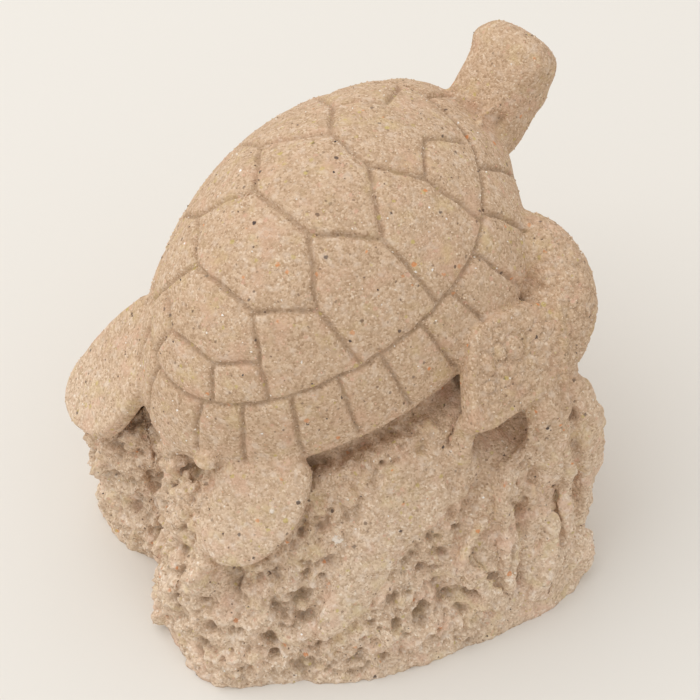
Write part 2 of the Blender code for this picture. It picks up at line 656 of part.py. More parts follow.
def cut_flat(skin):
    """Cut the underside flat at the table and close it with one face."""
    bm = bmesh.new()
    bm.from_mesh(skin)
    everything = bm.verts[:] + bm.edges[:] + bm.faces[:]
    bmesh.ops.bisect_plane(
        bm, geom=everything, dist=TABLE_SNAP * 0.7, plane_co=(0, 0, 0), plane_no=(0, 0, 1), clear_inner=True)
    bmesh.ops.contextual_create(bm, geom=[edge for edge in bm.edges if edge.is_boundary])
    for v in bm.verts:
        if v.co.z < TABLE_SNAP:
            v.co.z = 0.0
    bmesh.ops.recalc_face_normals(bm, faces=bm.faces)
    bm.to_mesh(skin)
    bm.free()


def set_down(skin):
    """Bring the middle of the underside's box to the origin and turn millimetres into metres."""
    low = [min(v.co[k] for v in skin.vertices) for k in range(2)]
    high = [max(v.co[k] for v in skin.vertices) for k in range(2)]
    shift = Vector((-(low[0] + high[0]) / 2, -(low[1] + high[1]) / 2, 0.0))
    for v in skin.vertices:
        v.co = (v.co + shift) * MM


def sand_material():
    """Bonded sand."""
    material = bpy.data.materials.new("sand")
    material.use_nodes = True
    shader = material.node_tree.nodes["Principled BSDF"]
    shader.inputs["Base Color"].default_value = SAND_COLOUR
    shader.inputs["Roughness"].default_value = SAND_ROUGHNESS
    shader.inputs["Metallic"].default_value = 0.0
    return material


for old in list(bpy.data.objects):
    bpy.data.objects.remove(old)

skin = run_together(body_forms() + rock_forms(), FINE_CELL)
soften(skin)
carve(skin)
skin = thin_out(skin, TRIANGLE_TARGET)
cut_flat(skin)
set_down(skin)
skin.name = NODE_NAME
skin.materials.append(sand_material())
sculpture = bpy.data.objects.new(NODE_NAME, skin)
collection = bpy.data.collections.new("sand turtle sculpture")
bpy.context.scene.collection.children.link(collection)
collection.objects.link(sculpture)
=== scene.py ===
"""Looks of a cast-sand sea turtle swimming over a block of reef rock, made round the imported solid."""

import math

import bmesh
import bpy
import numpy as np
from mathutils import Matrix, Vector, kdtree, noise
from mathutils.bvhtree import BVHTree


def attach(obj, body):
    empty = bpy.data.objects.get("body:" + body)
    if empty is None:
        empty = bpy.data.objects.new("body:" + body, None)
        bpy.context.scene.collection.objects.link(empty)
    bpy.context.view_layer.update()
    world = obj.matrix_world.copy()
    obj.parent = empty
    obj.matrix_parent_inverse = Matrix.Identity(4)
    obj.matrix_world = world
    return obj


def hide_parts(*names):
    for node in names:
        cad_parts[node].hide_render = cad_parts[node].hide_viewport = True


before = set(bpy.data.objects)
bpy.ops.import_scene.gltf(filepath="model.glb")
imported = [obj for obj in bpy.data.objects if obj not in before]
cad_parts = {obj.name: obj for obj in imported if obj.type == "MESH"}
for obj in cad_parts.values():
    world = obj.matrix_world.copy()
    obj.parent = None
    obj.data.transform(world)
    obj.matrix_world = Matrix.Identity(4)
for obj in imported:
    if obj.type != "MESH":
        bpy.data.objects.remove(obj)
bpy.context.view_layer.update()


# The casting. Turtle and reef block are one solid of fine beach sand with a little clear binder,
# packed damp into a rubber mould, struck off level underneath and dried. Nothing on it is painted.
# Its forms are laid out in millimetres and become metres when the finished skin is set down.

# Shell: an egg-shaped dome, nose up, wider towards the head
SHELL_LENGTH = 64.8
SHELL_WIDTH = 49.1
SHELL_RISE = 22.2
SHELL_WIDEN = 0.152
SHELL_RIGHT_PINCH = (0.12, 0.85, 0.22)
SHELL_RIM_PINCH = (0.20, 0.95, 0.15)
SHELL_LEFT_SHOULDER = 0.05
SHELL_SHOULDER_BEARING = math.radians(22)
SHELL_SHOULDER_SPREAD = math.radians(16)
SHELL_FULLNESS = 0.717
SHELL_PITCH = math.radians(19.7)
SHELL_HEIGHT = 42.0
SHELL_TOP_REACHES = (0.03, 0.15, 0.3, 0.45, 0.6, 0.72, 0.8, 0.86, 0.91, 0.95, 0.975, 0.99, 0.998)
SHELL_RIM = (
    (1.0, -0.3), (0.998, -0.9), (0.985, -1.5), (0.95, -1.9), (0.88, -2.3), (0.75, -6.0), (0.03, -9.0),
)
SHELL_SIDES = 90
RING_REACH = 0.837
# Points round an outline, a head and a limb, squareness of a round limb, and steps through a flipper
OUTLINE_STEPS = 56
HEAD_SIDES = 24
LIMB_SIDES = 16
ROUND = 2.0
SLAB_RINGS = 10


def half_width_at(t):
    """Half width of the shell's full outline, by the share of the way from its middle to the head end."""
    return SHELL_WIDTH / 2 * (1 + SHELL_WIDEN * t)


def shell_point(along, across, lift):
    """Place from shell coordinates: along to the head, across to the left, lift out of the back."""
    return Vector((
        across,
        -along * math.cos(SHELL_PITCH) + lift * math.sin(SHELL_PITCH),
        SHELL_HEIGHT + along * math.sin(SHELL_PITCH) + lift * math.cos(SHELL_PITCH),
    ))


def pinch_at(t, pinch):
    """Share by which the right side is pinched in: most of it at a place, less with distance."""
    most, place, spread = pinch
    return most * math.exp(-((t - place) / spread) ** 2)


def rim_point(reach, bearing, lift):
    """Point of the shell at a share of its outline's reach, a bearing from the head and a lift."""
    t = reach * math.cos(bearing)
    s = reach * math.sin(bearing)
    if s < 0:
        beyond_ring = max(0.0, reach - RING_REACH) / (1 - RING_REACH)
        s *= 1 - pinch_at(t, SHELL_RIGHT_PINCH) - pinch_at(t, SHELL_RIM_PINCH) * beyond_ring
    elif t > 0:
        turn = (bearing % math.tau - SHELL_SHOULDER_BEARING) / SHELL_SHOULDER_SPREAD
        shoulder = 1 + SHELL_LEFT_SHOULDER * math.exp(-turn * turn)
        t *= shoulder
        s *= shoulder
    return shell_point(t * SHELL_LENGTH / 2, s * half_width_at(t), lift)


def dome_lift(reach):
    """Height of the back above the rim plane at a share of the outline's reach."""
    return SHELL_RISE * max(0.0, 1 - reach * reach) ** SHELL_FULLNESS


def dome_point(t, s):
    """Point of the back by its shares of the half length and of the half width."""
    reach = math.hypot(t, s)
    return rim_point(reach, math.atan2(s, t), dome_lift(reach))


def curve_between(before, start, end, after, share):
    """Smooth value between two stations, steered by the ones on either side."""
    return 0.5 * (
        2 * start
        + (end - before) * share
        + (2 * before - 5 * start + 4 * end - after) * share * share
        + (3 * start - before - 3 * end + after) * share ** 3
    )


def closed_curve(corners, count):
    """Evenly counted points on a smooth closed curve through the corners."""
    points = []
    total = len(corners)
    for i in range(count):
        place = i * total / count
        k = int(place)
        around = [Vector(corners[(k + d) % total]) for d in (-1, 0, 1, 2)]
        points.append(curve_between(*around, place - k))
    return points


def open_curve(stations, count):
    """Smooth rows of numbers between the stations, both ends kept."""
    rows = []
    last = len(stations) - 1
    for i in range(count):
        place = i * last / (count - 1)
        k = min(int(place), last - 1)
        around = [stations[min(max(k + d, 0), last)] for d in (-1, 0, 1, 2)]
        rows.append([curve_between(*values, place - k) for values in zip(*around)])
    return rows


def opened(*meshes):
    """One editable mesh of all the faces of some meshes."""
    bm = bmesh.new()
    for mesh in meshes:
        bm.from_mesh(mesh)
    return bm


def closed(bm, mesh):
    """The mesh with the faces of an editable one, which is let go."""
    bm.to_mesh(mesh)
    bm.free()
    return mesh


def loft(name, rings):
    """Closed mesh through rings of equal length, each end closed by a face."""
    bm = bmesh.new()
    rows = [[bm.verts.new(p) for p in ring] for ring in rings]
    count = len(rows[0])
    for low, high in zip(rows, rows[1:]):
        for i in range(count):
            j = (i + 1) % count
            bm.faces.new((low[i], low[j], high[j], high[i]))
    bm.faces.new(list(reversed(rows[0])))
    bm.faces.new(rows[-1])
    bmesh.ops.recalc_face_normals(bm, faces=bm.faces)
    return closed(bm, bpy.data.meshes.new(name))


def rounded_section(centre, side, up, half_width, half_height, squareness, count):
    """Ring of a rounded box section."""
    ring = []
    for i in range(count):
        angle = math.tau * i / count
        c, s = math.cos(angle), math.sin(angle)
        x = math.copysign(abs(c) ** (2 / squareness), c) * half_width
        y = math.copysign(abs(s) ** (2 / squareness), s) * half_height
        ring.append(centre + side * x + up * y)
    return ring


def tube(name, stations, count):
    """Limb or rib of round section along a smooth spine."""
    rows = open_curve(stations, count)
    rings = []
    for i, row in enumerate(rows):
        here = Vector(row[:3])
        ahead = Vector(rows[min(i + 1, count - 1)][:3]) - Vector(rows[max(i - 1, 0)][:3])
        ahead.normalize()
        side = ahead.cross(Vector((0, 0, 1))).normalized()
        up = side.cross(ahead).normalized()
        rings.append(rounded_section(here, side, up, row[3], row[4], ROUND, LIMB_SIDES))
    return loft(name, rings)


def plane_directions(face):
    """Forward, up and outward on a tilted plane, from the way that it faces."""
    face = face.normalized()
    forward = Vector((0, 0, 1)).cross(face).normalized()
    return forward, face.cross(forward).normalized(), face


def slab(name, corners, origin, face, thickness):
    """Flat flipper: an outline of (forward, up) corners on a tilted plane, with rounded edges."""
    forward, up, face = plane_directions(face)
    outline = closed_curve(corners, OUTLINE_STEPS)
    middle = sum(outline, Vector((0, 0))) / len(outline)
    rings = []
    for i in range(SLAB_RINGS + 1):
        height = math.cos(math.pi * i / SLAB_RINGS)
        scale = BLADE_CENTRE_RING if i in (0, SLAB_RINGS) else math.sqrt(1 - abs(height) ** BLADE_EDGE_POWER)
        shrunk = [middle + (p - middle) * scale for p in outline]
        rings.append([origin + forward * q.x + up * q.y + face * (height * thickness / 2) for q in shrunk])
    return loft(name, rings)


def mirrored(corners):
    """The same outline for the other side."""
    return [(-x, y) for x, y in reversed(corners)]


def lump(name, centre, sizes):
    """Rounded boulder."""
    bm = bmesh.new()
    bmesh.ops.create_icosphere(bm, subdivisions=3, radius=1.0)
    for v in bm.verts:
        v.co = Vector((v.co.x * sizes[0], v.co.y * sizes[1], v.co.z * sizes[2])) + Vector(centre)
    return closed(bm, bpy.data.meshes.new(name))


def shell_form():
    """The domed back, its thin rim and the underside tucked into the rock."""
    profile = [(reach, dome_lift(reach)) for reach in SHELL_TOP_REACHES] + list(SHELL_RIM)
    bearings = [math.tau * i / SHELL_SIDES for i in range(SHELL_SIDES)]
    return loft("shell", [[rim_point(reach, b, lift) for b in bearings] for reach, lift in profile])


# Head: (distance ahead, half width, half height, raised) about its middle, then brows and cheeks
HEAD_CENTRE = Vector((1.15, -36.4, 57.7))
HEAD_AXIS = Vector((0.02, -0.66, 0.745)).normalized()
HEAD_STATIONS = (
    (-13.0, 4.8, 4.4, 0.0), (-9.0, 5.9, 5.2, 0.0), (-5.0, 6.1, 5.4, 0.0), (-1.0, 6.0, 5.5, 0.0),
    (2.5, 6.1, 5.1, 0.3), (4.5, 5.9, 4.3, 0.8), (5.6, 5.0, 3.3, 1.2), (6.2, 3.2, 2.1, 1.5),
    (6.4, 1.2, 0.9, 1.6),
)
HEAD_STEPS = 28
HEAD_SQUARENESS = 2.7
BROW = (2.7, 4.9, 2.5)
BROW_SIZES = (1.7, 2.3, 1.9)
CHEEK = (-1.5, 3.9, -2.2)
CHEEK_SIZES = (2.2, 2.6, 2.6)
# Lumps of the body: name, middle, sizes
BODY_LUMPS = (
    ("throat", (0.3, -22.0, 46.5), (9.5, 8.5, 6.0)),
    ("armpit", (-21.5, -17.0, 43.4), (2.6, 3.0, 2.8)),
    ("tail", (-6.9, 29.2, 33.1), (2.0, 1.9, 1.2)),
)


def head_directions():
    """Right, up and ahead of the head."""
    right = HEAD_AXIS.cross(Vector((0, 0, 1))).normalized()
    return right, right.cross(HEAD_AXIS).normalized(), HEAD_AXIS


def head_place(ahead_mm, right_mm, up_mm):
    """Point in the head's own directions, from its middle."""
    right, up, ahead = head_directions()
    return HEAD_CENTRE + ahead * ahead_mm + right * right_mm + up * up_mm


def head_forms():
    """Neck and blunt head, with brows and cheeks, lifted and turned a little to the left."""
    right, up, _ = head_directions()
    rings = []
    for distance, half_width, half_height, raised in open_curve(HEAD_STATIONS, HEAD_STEPS):
        centre = head_place(distance, 0.0, raised)
        rings.append(rounded_section(centre, right, up, half_width, half_height, HEAD_SQUARENESS, HEAD_SIDES))
    forms = [loft("head", rings)]
    for hand in (1, -1):
        forms.append(lump("brow", head_place(BROW[0], hand * BROW[1], BROW[2]), BROW_SIZES))
        forms.append(lump("cheek", head_place(CHEEK[0], hand * CHEEK[1], CHEEK[2]), CHEEK_SIZES))
    return forms


# Flippers and ledge: outlines as (forward, up) on their own planes, arms as (x, y, z, half width, half
# height); a set is the place, facing and thickness of a plane
FRONT_RIGHT_SET = (Vector((-27.8, -6.0, 41.3)), Vector((-0.79, 0.05, 0.61)), 4.5)
FRONT_LEFT_SET = (Vector((26.2, -7.0, 34.5)), Vector((0.82, -0.05, 0.50)), 4.5)
HIND_RIGHT_SET = (Vector((-14.2, 27.2, 27.4)), Vector((-0.40, 0.70, 0.60)), 3.6)
HIND_LEFT_SET = (Vector((15.9, 27.5, 29.1)), Vector((0.40, 0.70, 0.60)), 3.4)
LEDGE_SET = (Vector((-27.3, 12.3, 20.7)), Vector((-0.80, 0.42, 0.42)), 4.6)
BLADE_CENTRE_RING = 0.25
BLADE_EDGE_POWER = 10
ARM_STEPS = 18
FRONT_BLADE = (
    (15.0, 1.5), (12.6, 4.0), (8.2, 6.3), (3.4, 7.2), (-0.6, 7.6), (-3.2, 6.2), (-4.9, 3.2), (-6.5, -0.5),
    (-8.0, -4.6), (-6.9, -6.1), (-3.0, -6.3), (2.0, -6.2), (6.5, -5.0), (10.4, -2.6), (13.6, -1.4),
)
HIND_RIGHT_BLADE = (
    (-6.1, 7.5), (-5.9, 1.5), (-6.3, -2.5), (-6.3, -6.4), (-4.5, -8.8), (-1.5, -9.0), (1.5, -7.8),
    (4.2, -4.9), (6.2, -1.2), (7.0, 3.0), (6.4, 7.5), (0.0, 9.5),
)
HIND_LEFT_BLADE = (
    (-4.4, 13.0), (-6.6, 8.5), (-7.6, 3.0), (-7.7, -3.0), (-7.0, -7.9), (-4.0, -10.4), (0.4, -9.9),
    (4.5, -7.5), (7.5, -4.5), (8.5, 0.5), (7.0, 7.0), (2.5, 12.5),
)
LEDGE = (
    (2.0, 12.0), (5.8, 11.1), (7.6, 6.5), (6.8, 2.0), (3.5, 0.4), (0.6, -1.6), (-2.4, -5.4), (-5.2, -8.9),
    (-9.0, -12.6), (-13.2, -13.8), (-12.6, -9.0), (-9.6, -3.5), (-6.2, 2.5), (-2.4, 8.5),
)
FRONT_RIGHT_ARM = (
    (-12.0, -19.0, 47.0, 4.5, 4.5), (-19.0, -22.4, 45.6, 5.0, 5.2), (-25.2, -20.8, 41.8, 5.2, 5.6),
    (-27.8, -16.0, 37.5, 4.5, 5.6), (-28.0, -10.0, 34.0, 3.5, 5.0),
)
FRONT_LEFT_ARM = (
    (12.0, -19.0, 45.0, 4.5, 4.5), (18.5, -21.8, 42.5, 5.0, 5.2), (23.8, -20.5, 38.5, 5.2, 5.6),
    (26.2, -15.5, 33.5, 4.5, 5.6), (26.2, -9.0, 29.0, 3.5, 5.0),
)


def body_forms():
    """Forms of the animal, and the smooth ledge of the block."""
    return head_forms() + [
        shell_form(),
        slab("front right blade", FRONT_BLADE, *FRONT_RIGHT_SET),
        tube("front right arm", FRONT_RIGHT_ARM, ARM_STEPS),
        slab("hind right blade", HIND_RIGHT_BLADE, *HIND_RIGHT_SET),
        slab("hind left blade", HIND_LEFT_BLADE, *HIND_LEFT_SET),
        slab("front left blade", mirrored(FRONT_BLADE), *FRONT_LEFT_SET),
        tube("front left arm", FRONT_LEFT_ARM, ARM_STEPS),
        *(lump(*row) for row in BODY_LUMPS),
        slab("ledge", LEDGE, *LEDGE_SET),
    ]


# Reef block: a skirt from under the rim to the foot, with lobes as (bearing, spread, extra radius)
ROCK_CENTRE = (-6.0, 3.0)
ROCK_BASE_RADIUS = 33.3
ROCK_BELOW_TABLE = 3.0
ROCK_INNER = (0.78, 0.5)
ROCK_SHOULDER = (0.86, -2.4)
ROCK_NECK = (0.90, -3.2)
ROCK_LEVELS = (0.08, 0.18, 0.3, 0.45, 0.6, 0.75, 0.88, 1.0)
ROCK_SPREAD_POWER = 0.62
ROCK_SIDES = 96
WELL_OUTSIDE = 90
BASE_LOBES = (
    (106.0, 15.0, 5.2), (160.0, 14.0, -0.9), (204.0, 18.0, 5.3), (45.0, 14.0, 4.0), (74.0, 7.0, -5.0),
    (285.0, 25.0, -1.0),
)
# Tubes of the block: name, steps along it, stations; then its lumps as name, middle, sizes
ROCK_TUBES = (
    ("coral bed", 18, ((-29.2, -5.0, 27.0, 5.0, 2.6), (-31.8, -4.4, 20.5, 6.5, 3.0),
        (-33.8, -3.4, 13.5, 7.5, 3.0), (-35.8, -2.4, 6.5, 7.5, 3.0), (-36.6, -2.0, 0.0, 7.0, 3.0))),
    ("coral web", 18, ((-30.0, -10.8, 38.0, 3.8, 2.6), (-31.6, -10.6, 33.8, 3.8, 2.6),
        (-32.6, -10.3, 29.5, 3.3, 2.5), (-33.6, -9.7, 24.5, 2.6, 2.3), (-34.8, -9.2, 19.5, 1.8, 1.8))),
    ("far bank", 18, ((20.0, -10.0, 33.0, 5.0, 6.0), (22.5, -7.5, 24.0, 6.5, 8.0),
        (23.5, -5.0, 14.0, 6.5, 9.0), (24.0, -3.0, 4.0, 6.0, 9.0), (24.0, -3.0, -1.5, 6.0, 9.0))),
    ("tail rib", 14, ((0.4, 28.1, 33.0, 2.6, 3.0), (-0.1, 28.4, 25.0, 2.7, 3.0), (-1.4, 29.7, 17.0, 2.9, 3.2),
        (-3.5, 32.2, 10.0, 3.2, 3.5), (-5.5, 34.6, 1.0, 3.8, 3.9))),
    ("tail wall", 14, ((-5.8, 28.2, 26.2, 3.6, 3.0), (-5.6, 30.5, 21.0, 3.6, 3.4),
        (-6.2, 32.6, 15.0, 3.8, 3.6), (-7.5, 34.2, 8.0, 3.8, 3.6), (-8.5, 35.0, 1.0, 3.6, 3.6))),
    ("tail bank", 14, ((-7.4, 25.5, 28.0, 3.0, 3.0), (-8.6, 29.0, 23.0, 3.4, 3.4),
        (-9.6, 31.8, 17.0, 3.4, 3.4), (-10.8, 34.0, 9.0, 3.6, 3.6), (-11.6, 35.2, 1.0, 3.6, 3.6))),
    ("coral buttress", 18, ((-29.0, -15.6, 37.0, 2.6, 2.6), (-32.4, -16.0, 30.0, 3.5, 3.5),
        (-33.5, -16.4, 25.0, 4.3, 4.3), (-33.9, -16.2, 20.0, 4.2, 4.2), (-33.8, -14.5, 10.0, 4.0, 4.0),
        (-33.0, -13.0, 0.0, 4.0, 4.0))),
)
ROCK_LUMPS = (
    ("coral boss", (-35.0, -5.6, 19.8), (1.5, 1.5, 3.2)),
    ("far lobe", (11.9, 27.7, 17.8), (7.4, 5.9, 7.8)),
    ("front lobe", (-37.0, -12.0, 3.0), (4.7, 5.1, 5.5)),
)
CORAL_RIBS = (
    ((-30.2, -10.4, 30.0, 1.3, 1.5), (-32.2, -6.3, 27.5, 1.4, 1.6), (-32.9, -2.7, 25.2, 1.4, 1.6),
     (-34.3, -1.5, 21.6, 1.3, 1.5), (-35.4, -1.2, 17.9, 1.3, 1.5), (-36.8, -0.4, 14.0, 1.2, 1.4),
     (-38.4, 1.0, 7.6, 1.0, 1.1)),
    ((-33.9, 1.3, 20.2, 0.9, 1.0), (-33.5, 3.8, 18.7, 0.9, 1.0), (-33.9, 5.8, 17.0, 1.0, 1.1),
     (-35.3, 6.0, 13.4, 1.0, 1.2), (-36.8, 5.3, 9.6, 1.1, 1.2), (-38.5, 3.2, 5.6, 1.0, 1.0)),
    ((-36.3, -7.0, 17.0, 1.2, 1.4), (-37.3, -7.4, 14.0, 2.0, 2.3), (-38.9, -6.4, 9.0, 2.2, 2.4),
     (-40.1, -2.6, 4.0, 1.0, 1.1)),
    ((-30.6, -14.4, 39.4, 1.2, 1.4), (-31.8, -14.1, 36.2, 1.3, 1.5), (-33.2, -13.4, 32.6, 1.2, 1.5),
     (-35.0, -12.7, 25.2, 1.2, 1.5), (-36.6, -12.2, 18.0, 1.3, 1.6), (-38.2, -11.0, 10.5, 1.4, 1.6),
     (-39.6, -9.2, 4.0, 1.2, 1.3)),
    ((-28.9, 0.8, 37.0, 1.9, 1.9), (-28.5, 1.2, 33.5, 1.6, 1.6), (-28.8, 1.9, 29.5, 1.5, 1.5),
     (-29.4, 3.0, 25.8, 1.3, 1.3), (-30.0, 4.5, 22.5, 1.2, 1.2), (-30.6, 6.8, 19.5, 0.8, 0.8)),
)
FAR_RIBS = (
    ((-8.0, 30.0), (-4.0, 22.0), (-9.0, 14.0), (-3.0, 5.0)),
    ((18.0, 26.0), (13.0, 18.0), (20.0, 10.0), (16.0, 3.0)),
    ((-48.0, 34.0), (-44.0, 26.0), (-50.0, 16.0), (-45.0, 6.0)),
    ((-96.0, 38.0), (-101.0, 28.0), (-94.0, 18.0), (-99.0, 6.0)),
    ((-122.0, 34.0), (-126.0, 24.0), (-119.0, 14.0), (-124.0, 5.0)),
)
FAR_RIB_SIZES = (1.3, 2.0, 2.2, 1.2)
FAR_RIB_STEPS = 24
CORAL_RIB_STEPS = 28
FAR_RIB_SUNK = 0.2
FAR_RIB_FLATNESS = 1.3


def base_radius(bearing):
    """Radius of the rock's foot at a bearing in degrees counted from +X towards +Y."""
    radius = ROCK_BASE_RADIUS
    for centre, spread, extra in BASE_LOBES:
        gap = (bearing - centre + 180) % 360 - 180
        radius += extra * math.exp(-(gap / spread) ** 2)
    return radius


def rock_form():
    """The block: a skirt that spreads from under the rim to the foot."""
    columns = []
    for i in range(ROCK_SIDES):
        bearing = math.tau * i / ROCK_SIDES
        neck = rim_point(ROCK_NECK[0], bearing, ROCK_NECK[1])
        angle = math.atan2(neck.y - ROCK_CENTRE[1], neck.x - ROCK_CENTRE[0])
        radius = base_radius(math.degrees(angle))
        foot = Vector((*ROCK_CENTRE, 0)) + radius * Vector((math.cos(angle), math.sin(angle), 0))
        column = [rim_point(reach, bearing, lift) for reach, lift in (ROCK_INNER, ROCK_SHOULDER)] + [neck]
        for level in ROCK_LEVELS:
            place = neck.lerp(foot, level ** ROCK_SPREAD_POWER)
            place.z = neck.z * (1 - level)
            column.append(place)
        column.append(foot - Vector((0, 0, ROCK_BELOW_TABLE)))
        columns.append(column)
    return loft("rock", [list(ring) for ring in zip(*columns)])


def form_tree(forms):
    """Search tree over the faces of some forms."""
    bm = opened(*forms)
    tree = BVHTree.FromBMesh(bm)
    bm.free()
    return tree


def wall_point(tree, bearing, height, sunk):
    """Point just inside the skirt of the rock at a bearing in degrees and a height."""
    ahead = Vector((math.cos(math.radians(bearing)), math.sin(math.radians(bearing)), 0))
    start = Vector((*ROCK_CENTRE, height)) + ahead * WELL_OUTSIDE
    return tree.ray_cast(start, -ahead)[0] - ahead * sunk


def rock_forms():
    """Forms of the reef block: the skirt, its swellings and the coral ribs."""
    forms = [rock_form()]
    tree = form_tree(forms)
    for rib in FAR_RIBS:
        stations = []
        for (bearing, height), size in zip(rib, FAR_RIB_SIZES):
            stations.append((*wall_point(tree, bearing, height, FAR_RIB_SUNK), size, size * FAR_RIB_FLATNESS))
        forms.append(tube("far rib", stations, FAR_RIB_STEPS))
    forms += [tube("coral rib", rib, CORAL_RIB_STEPS) for rib in CORAL_RIBS]
    forms += [tube(name, stations, steps) for name, steps, stations in ROCK_TUBES]
    return forms + [lump(*row) for row in ROCK_LUMPS]


# One skin round all the forms, relaxed
FINE_CELL = 0.27
SMOOTHING_ROUNDS = 5
# Places blended more: middle, reach and rounds of smoothing
BLENDED_PLACES = (
    (Vector((-29.0, -16.2, 44.0)), 6.0, 90),
    (HEAD_CENTRE, 9.5, 30),
    (Vector((-30.2, 2.2, 37.2)), 3.2, 40),
    (Vector((-8.4, 31.2, 25.0)), 3.4, 60),
    (Vector((-10.8, 33.6, 20.6)), 3.2, 60),
)
MOST_TRIANGLES = 194000
TABLE_SNAP = 0.03
CUT_TOLERANCE = 0.7 * TABLE_SNAP
MM = 0.001


def in_scene(name, data):
    """New object in the scene, made of some data."""
    thing = bpy.data.objects.new(name, data)
    bpy.context.scene.collection.objects.link(thing)
    return thing


def as_modified(thing):
    """Plain mesh of an object as its modifiers show it."""
    return bpy.data.meshes.new_from_object(thing.evaluated_get(bpy.context.evaluated_depsgraph_get()))


def remade(mesh, name, kind, **settings):
    """What one modifier makes of a mesh."""
    thing = in_scene(name, mesh)
    modifier = thing.modifiers.new(name, kind)
    for setting, value in settings.items():
        setattr(modifier, setting, value)
    made = as_modified(thing)
    bpy.data.objects.remove(thing)
    return made


def run_together(forms, cell):
    """Make one skin round all the closed forms."""
    joined = closed(opened(*forms), bpy.data.meshes.new("joined"))
    return remade(joined, "run together", "REMESH", mode="VOXEL", voxel_size=cell, use_smooth_shade=False)


def relax(bm, verts, rounds):
    """Draw each vertex halfway to the middle of its neighbours, a number of times."""
    for _ in range(rounds):
        bmesh.ops.smooth_vert(
            bm, verts=verts, factor=0.5, use_axis_x=True, use_axis_y=True, use_axis_z=True)


def soften(skin):
    """Relax the stair steps of the new skin, and blend some places more."""
    bm = opened(skin)
    for middle, reach, rounds in BLENDED_PLACES:
        relax(bm, [v for v in bm.verts if (v.co - middle).length < reach], rounds)
    relax(bm, bm.verts, SMOOTHING_ROUNDS)
    closed(bm, skin)


# Seams between the plates: corners as shares of the half length and half width of the shell
SEAM_CORNERS = {
    "V1 notch": (0.64, 0.155), "V1 ring": (0.765, 0.26), "V1 side": (0.49, 0.36),
    "C1 ring": (0.54, 0.64), "V2 front": (0.355, 0.155), "V2 side": (0.155, 0.495),
    "C2 ring": (0.146, 0.825), "V3 front": (-0.045, 0.23), "V3 side": (-0.245, 0.515),
    "C3 ring": (-0.262, 0.795), "V4 front": (-0.43, 0.26), "V4 side": (-0.553, 0.435),
    "C4 ring": (-0.624, 0.555), "V5 front": (-0.68, 0.20), "V5 ring": (-0.785, 0.28),
}
SEAM_LINES = (
    ("V1 ring", "V1 notch"), ("V1 notch", "V1 side"), ("V1 side", "C1 ring"), ("V1 side", "V2 front"),
    ("V2 front", "V2 side"), ("V2 side", "C2 ring"), ("V2 side", "V3 front"), ("V3 front", "V3 side"),
    ("V3 side", "C3 ring"), ("V3 side", "V4 front"), ("V4 front", "V4 side"), ("V4 side", "C4 ring"),
    ("V4 side", "V5 front"), ("V5 front", "V5 ring"),
)
SEAMS_ACROSS = ("V2 front", "V3 front", "V4 front", "V5 front")
MARGIN_BEARINGS = (9, 29.5, 46, 61, 75, 88, 102, 116, 131, 148, 165.5)
RIGHT_BEARING_UNCUT = 9
SEAM_DEPTH = 0.62
SEAM_HALF_WIDTH = 0.4
SEAM_STEEPNESS = 3.0
SEAM_WANDER = 0.3
SEAM_WANDER_LENGTH = 2.6
PLATE_EDGE_DROP = 0.13
PLATE_EDGE_WIDTH = 1.2
SEAM_STEPS = 32
RING_STEPS = 480


def seam_tree():
    """Search tree of closely spaced points along every seam between the plates."""
    lines = []
    for hand in (1, -1):
        for start, end in SEAM_LINES:
            (t0, s0), (t1, s1) = SEAM_CORNERS[start], SEAM_CORNERS[end]
            lines.append(((t0, hand * s0), (t1, hand * s1)))
        for bearing in MARGIN_BEARINGS:
            if hand < 0 and bearing == RIGHT_BEARING_UNCUT:
                continue
            c, s = math.cos(math.radians(bearing)), hand * math.sin(math.radians(bearing))
            lines.append(((RING_REACH * c, RING_REACH * s), (c, s)))
    for corner in SEAMS_ACROSS:
        t, s = SEAM_CORNERS[corner]
        lines.append(((t, s), (t, -s)))
    points = []
    for (t0, s0), (t1, s1) in lines:
        for i in range(SEAM_STEPS + 1):
            points.append(dome_point(t0 + (t1 - t0) * i / SEAM_STEPS, s0 + (s1 - s0) * i / SEAM_STEPS))
    for i in range(RING_STEPS):
        points.append(rim_point(RING_REACH, math.tau * i / RING_STEPS, dome_lift(RING_REACH)))
    tree = kdtree.KDTree(len(points))
    for number, place in enumerate(points):
        tree.insert(place, number)
    tree.balance()
    return tree


# Hollows of the block, from one point to another, with half width and depth, and the undercut of the rim
HOLLOWS = (
    ((-16.0, 32.5, 15.0), (-19.5, 31.0, 16.5), 2.6, 2.6),
    ((-3.2, 30.2, 29.6), (-4.6, 30.4, 29.0), 1.6, 1.6),
    ((-29.8, -3.4, 28.2), (-32.2, 3.0, 22.5), 1.8, 1.9),
    ((-32.2, 3.0, 22.5), (-33.4, 6.8, 17.6), 1.2, 1.9),
    ((-30.1, 3.4, 28.6), (-31.8, 6.0, 22.2), 0.9, 1.5),
    ((-29.2, -1.5, 31.5), (-30.5, -6.0, 31.0), 2.2, 3.4),
    ((-33.6, -7.6, 23.8), (-35.6, -4.0, 18.3), 0.9, 1.3),
    ((-35.6, -4.0, 18.3), (-38.4, -0.6, 6.6), 0.8, 1.1),
    ((-31.5, 11.5, 15.5), (-34.5, 8.5, 10.0), 2.6, 1.6),
    ((-31.5, 18.0, 8.5), (-33.5, 14.0, 9.5), 2.2, 1.0),
    ((-34.6, -14.4, 30.5), (-37.6, -13.9, 14.0), 1.1, 2.4),
    ((-37.6, -9.4, 15.0), (-39.6, -8.0, 6.0), 0.8, 1.0),
)
UNDERCUT_BEARINGS = (222.0, 286.0)
UNDERCUT_REACH = 0.985
UNDERCUT_LIFT = -3.6
UNDERCUT_HALF_WIDTH = 1.5
UNDERCUT_DEPTH = 1.4
UNDERCUT_STEPS = 12
ROCK_WAVES = ((7.0, 0.9), (3.0, 0.6))
ROCK_SWELL = 0.25
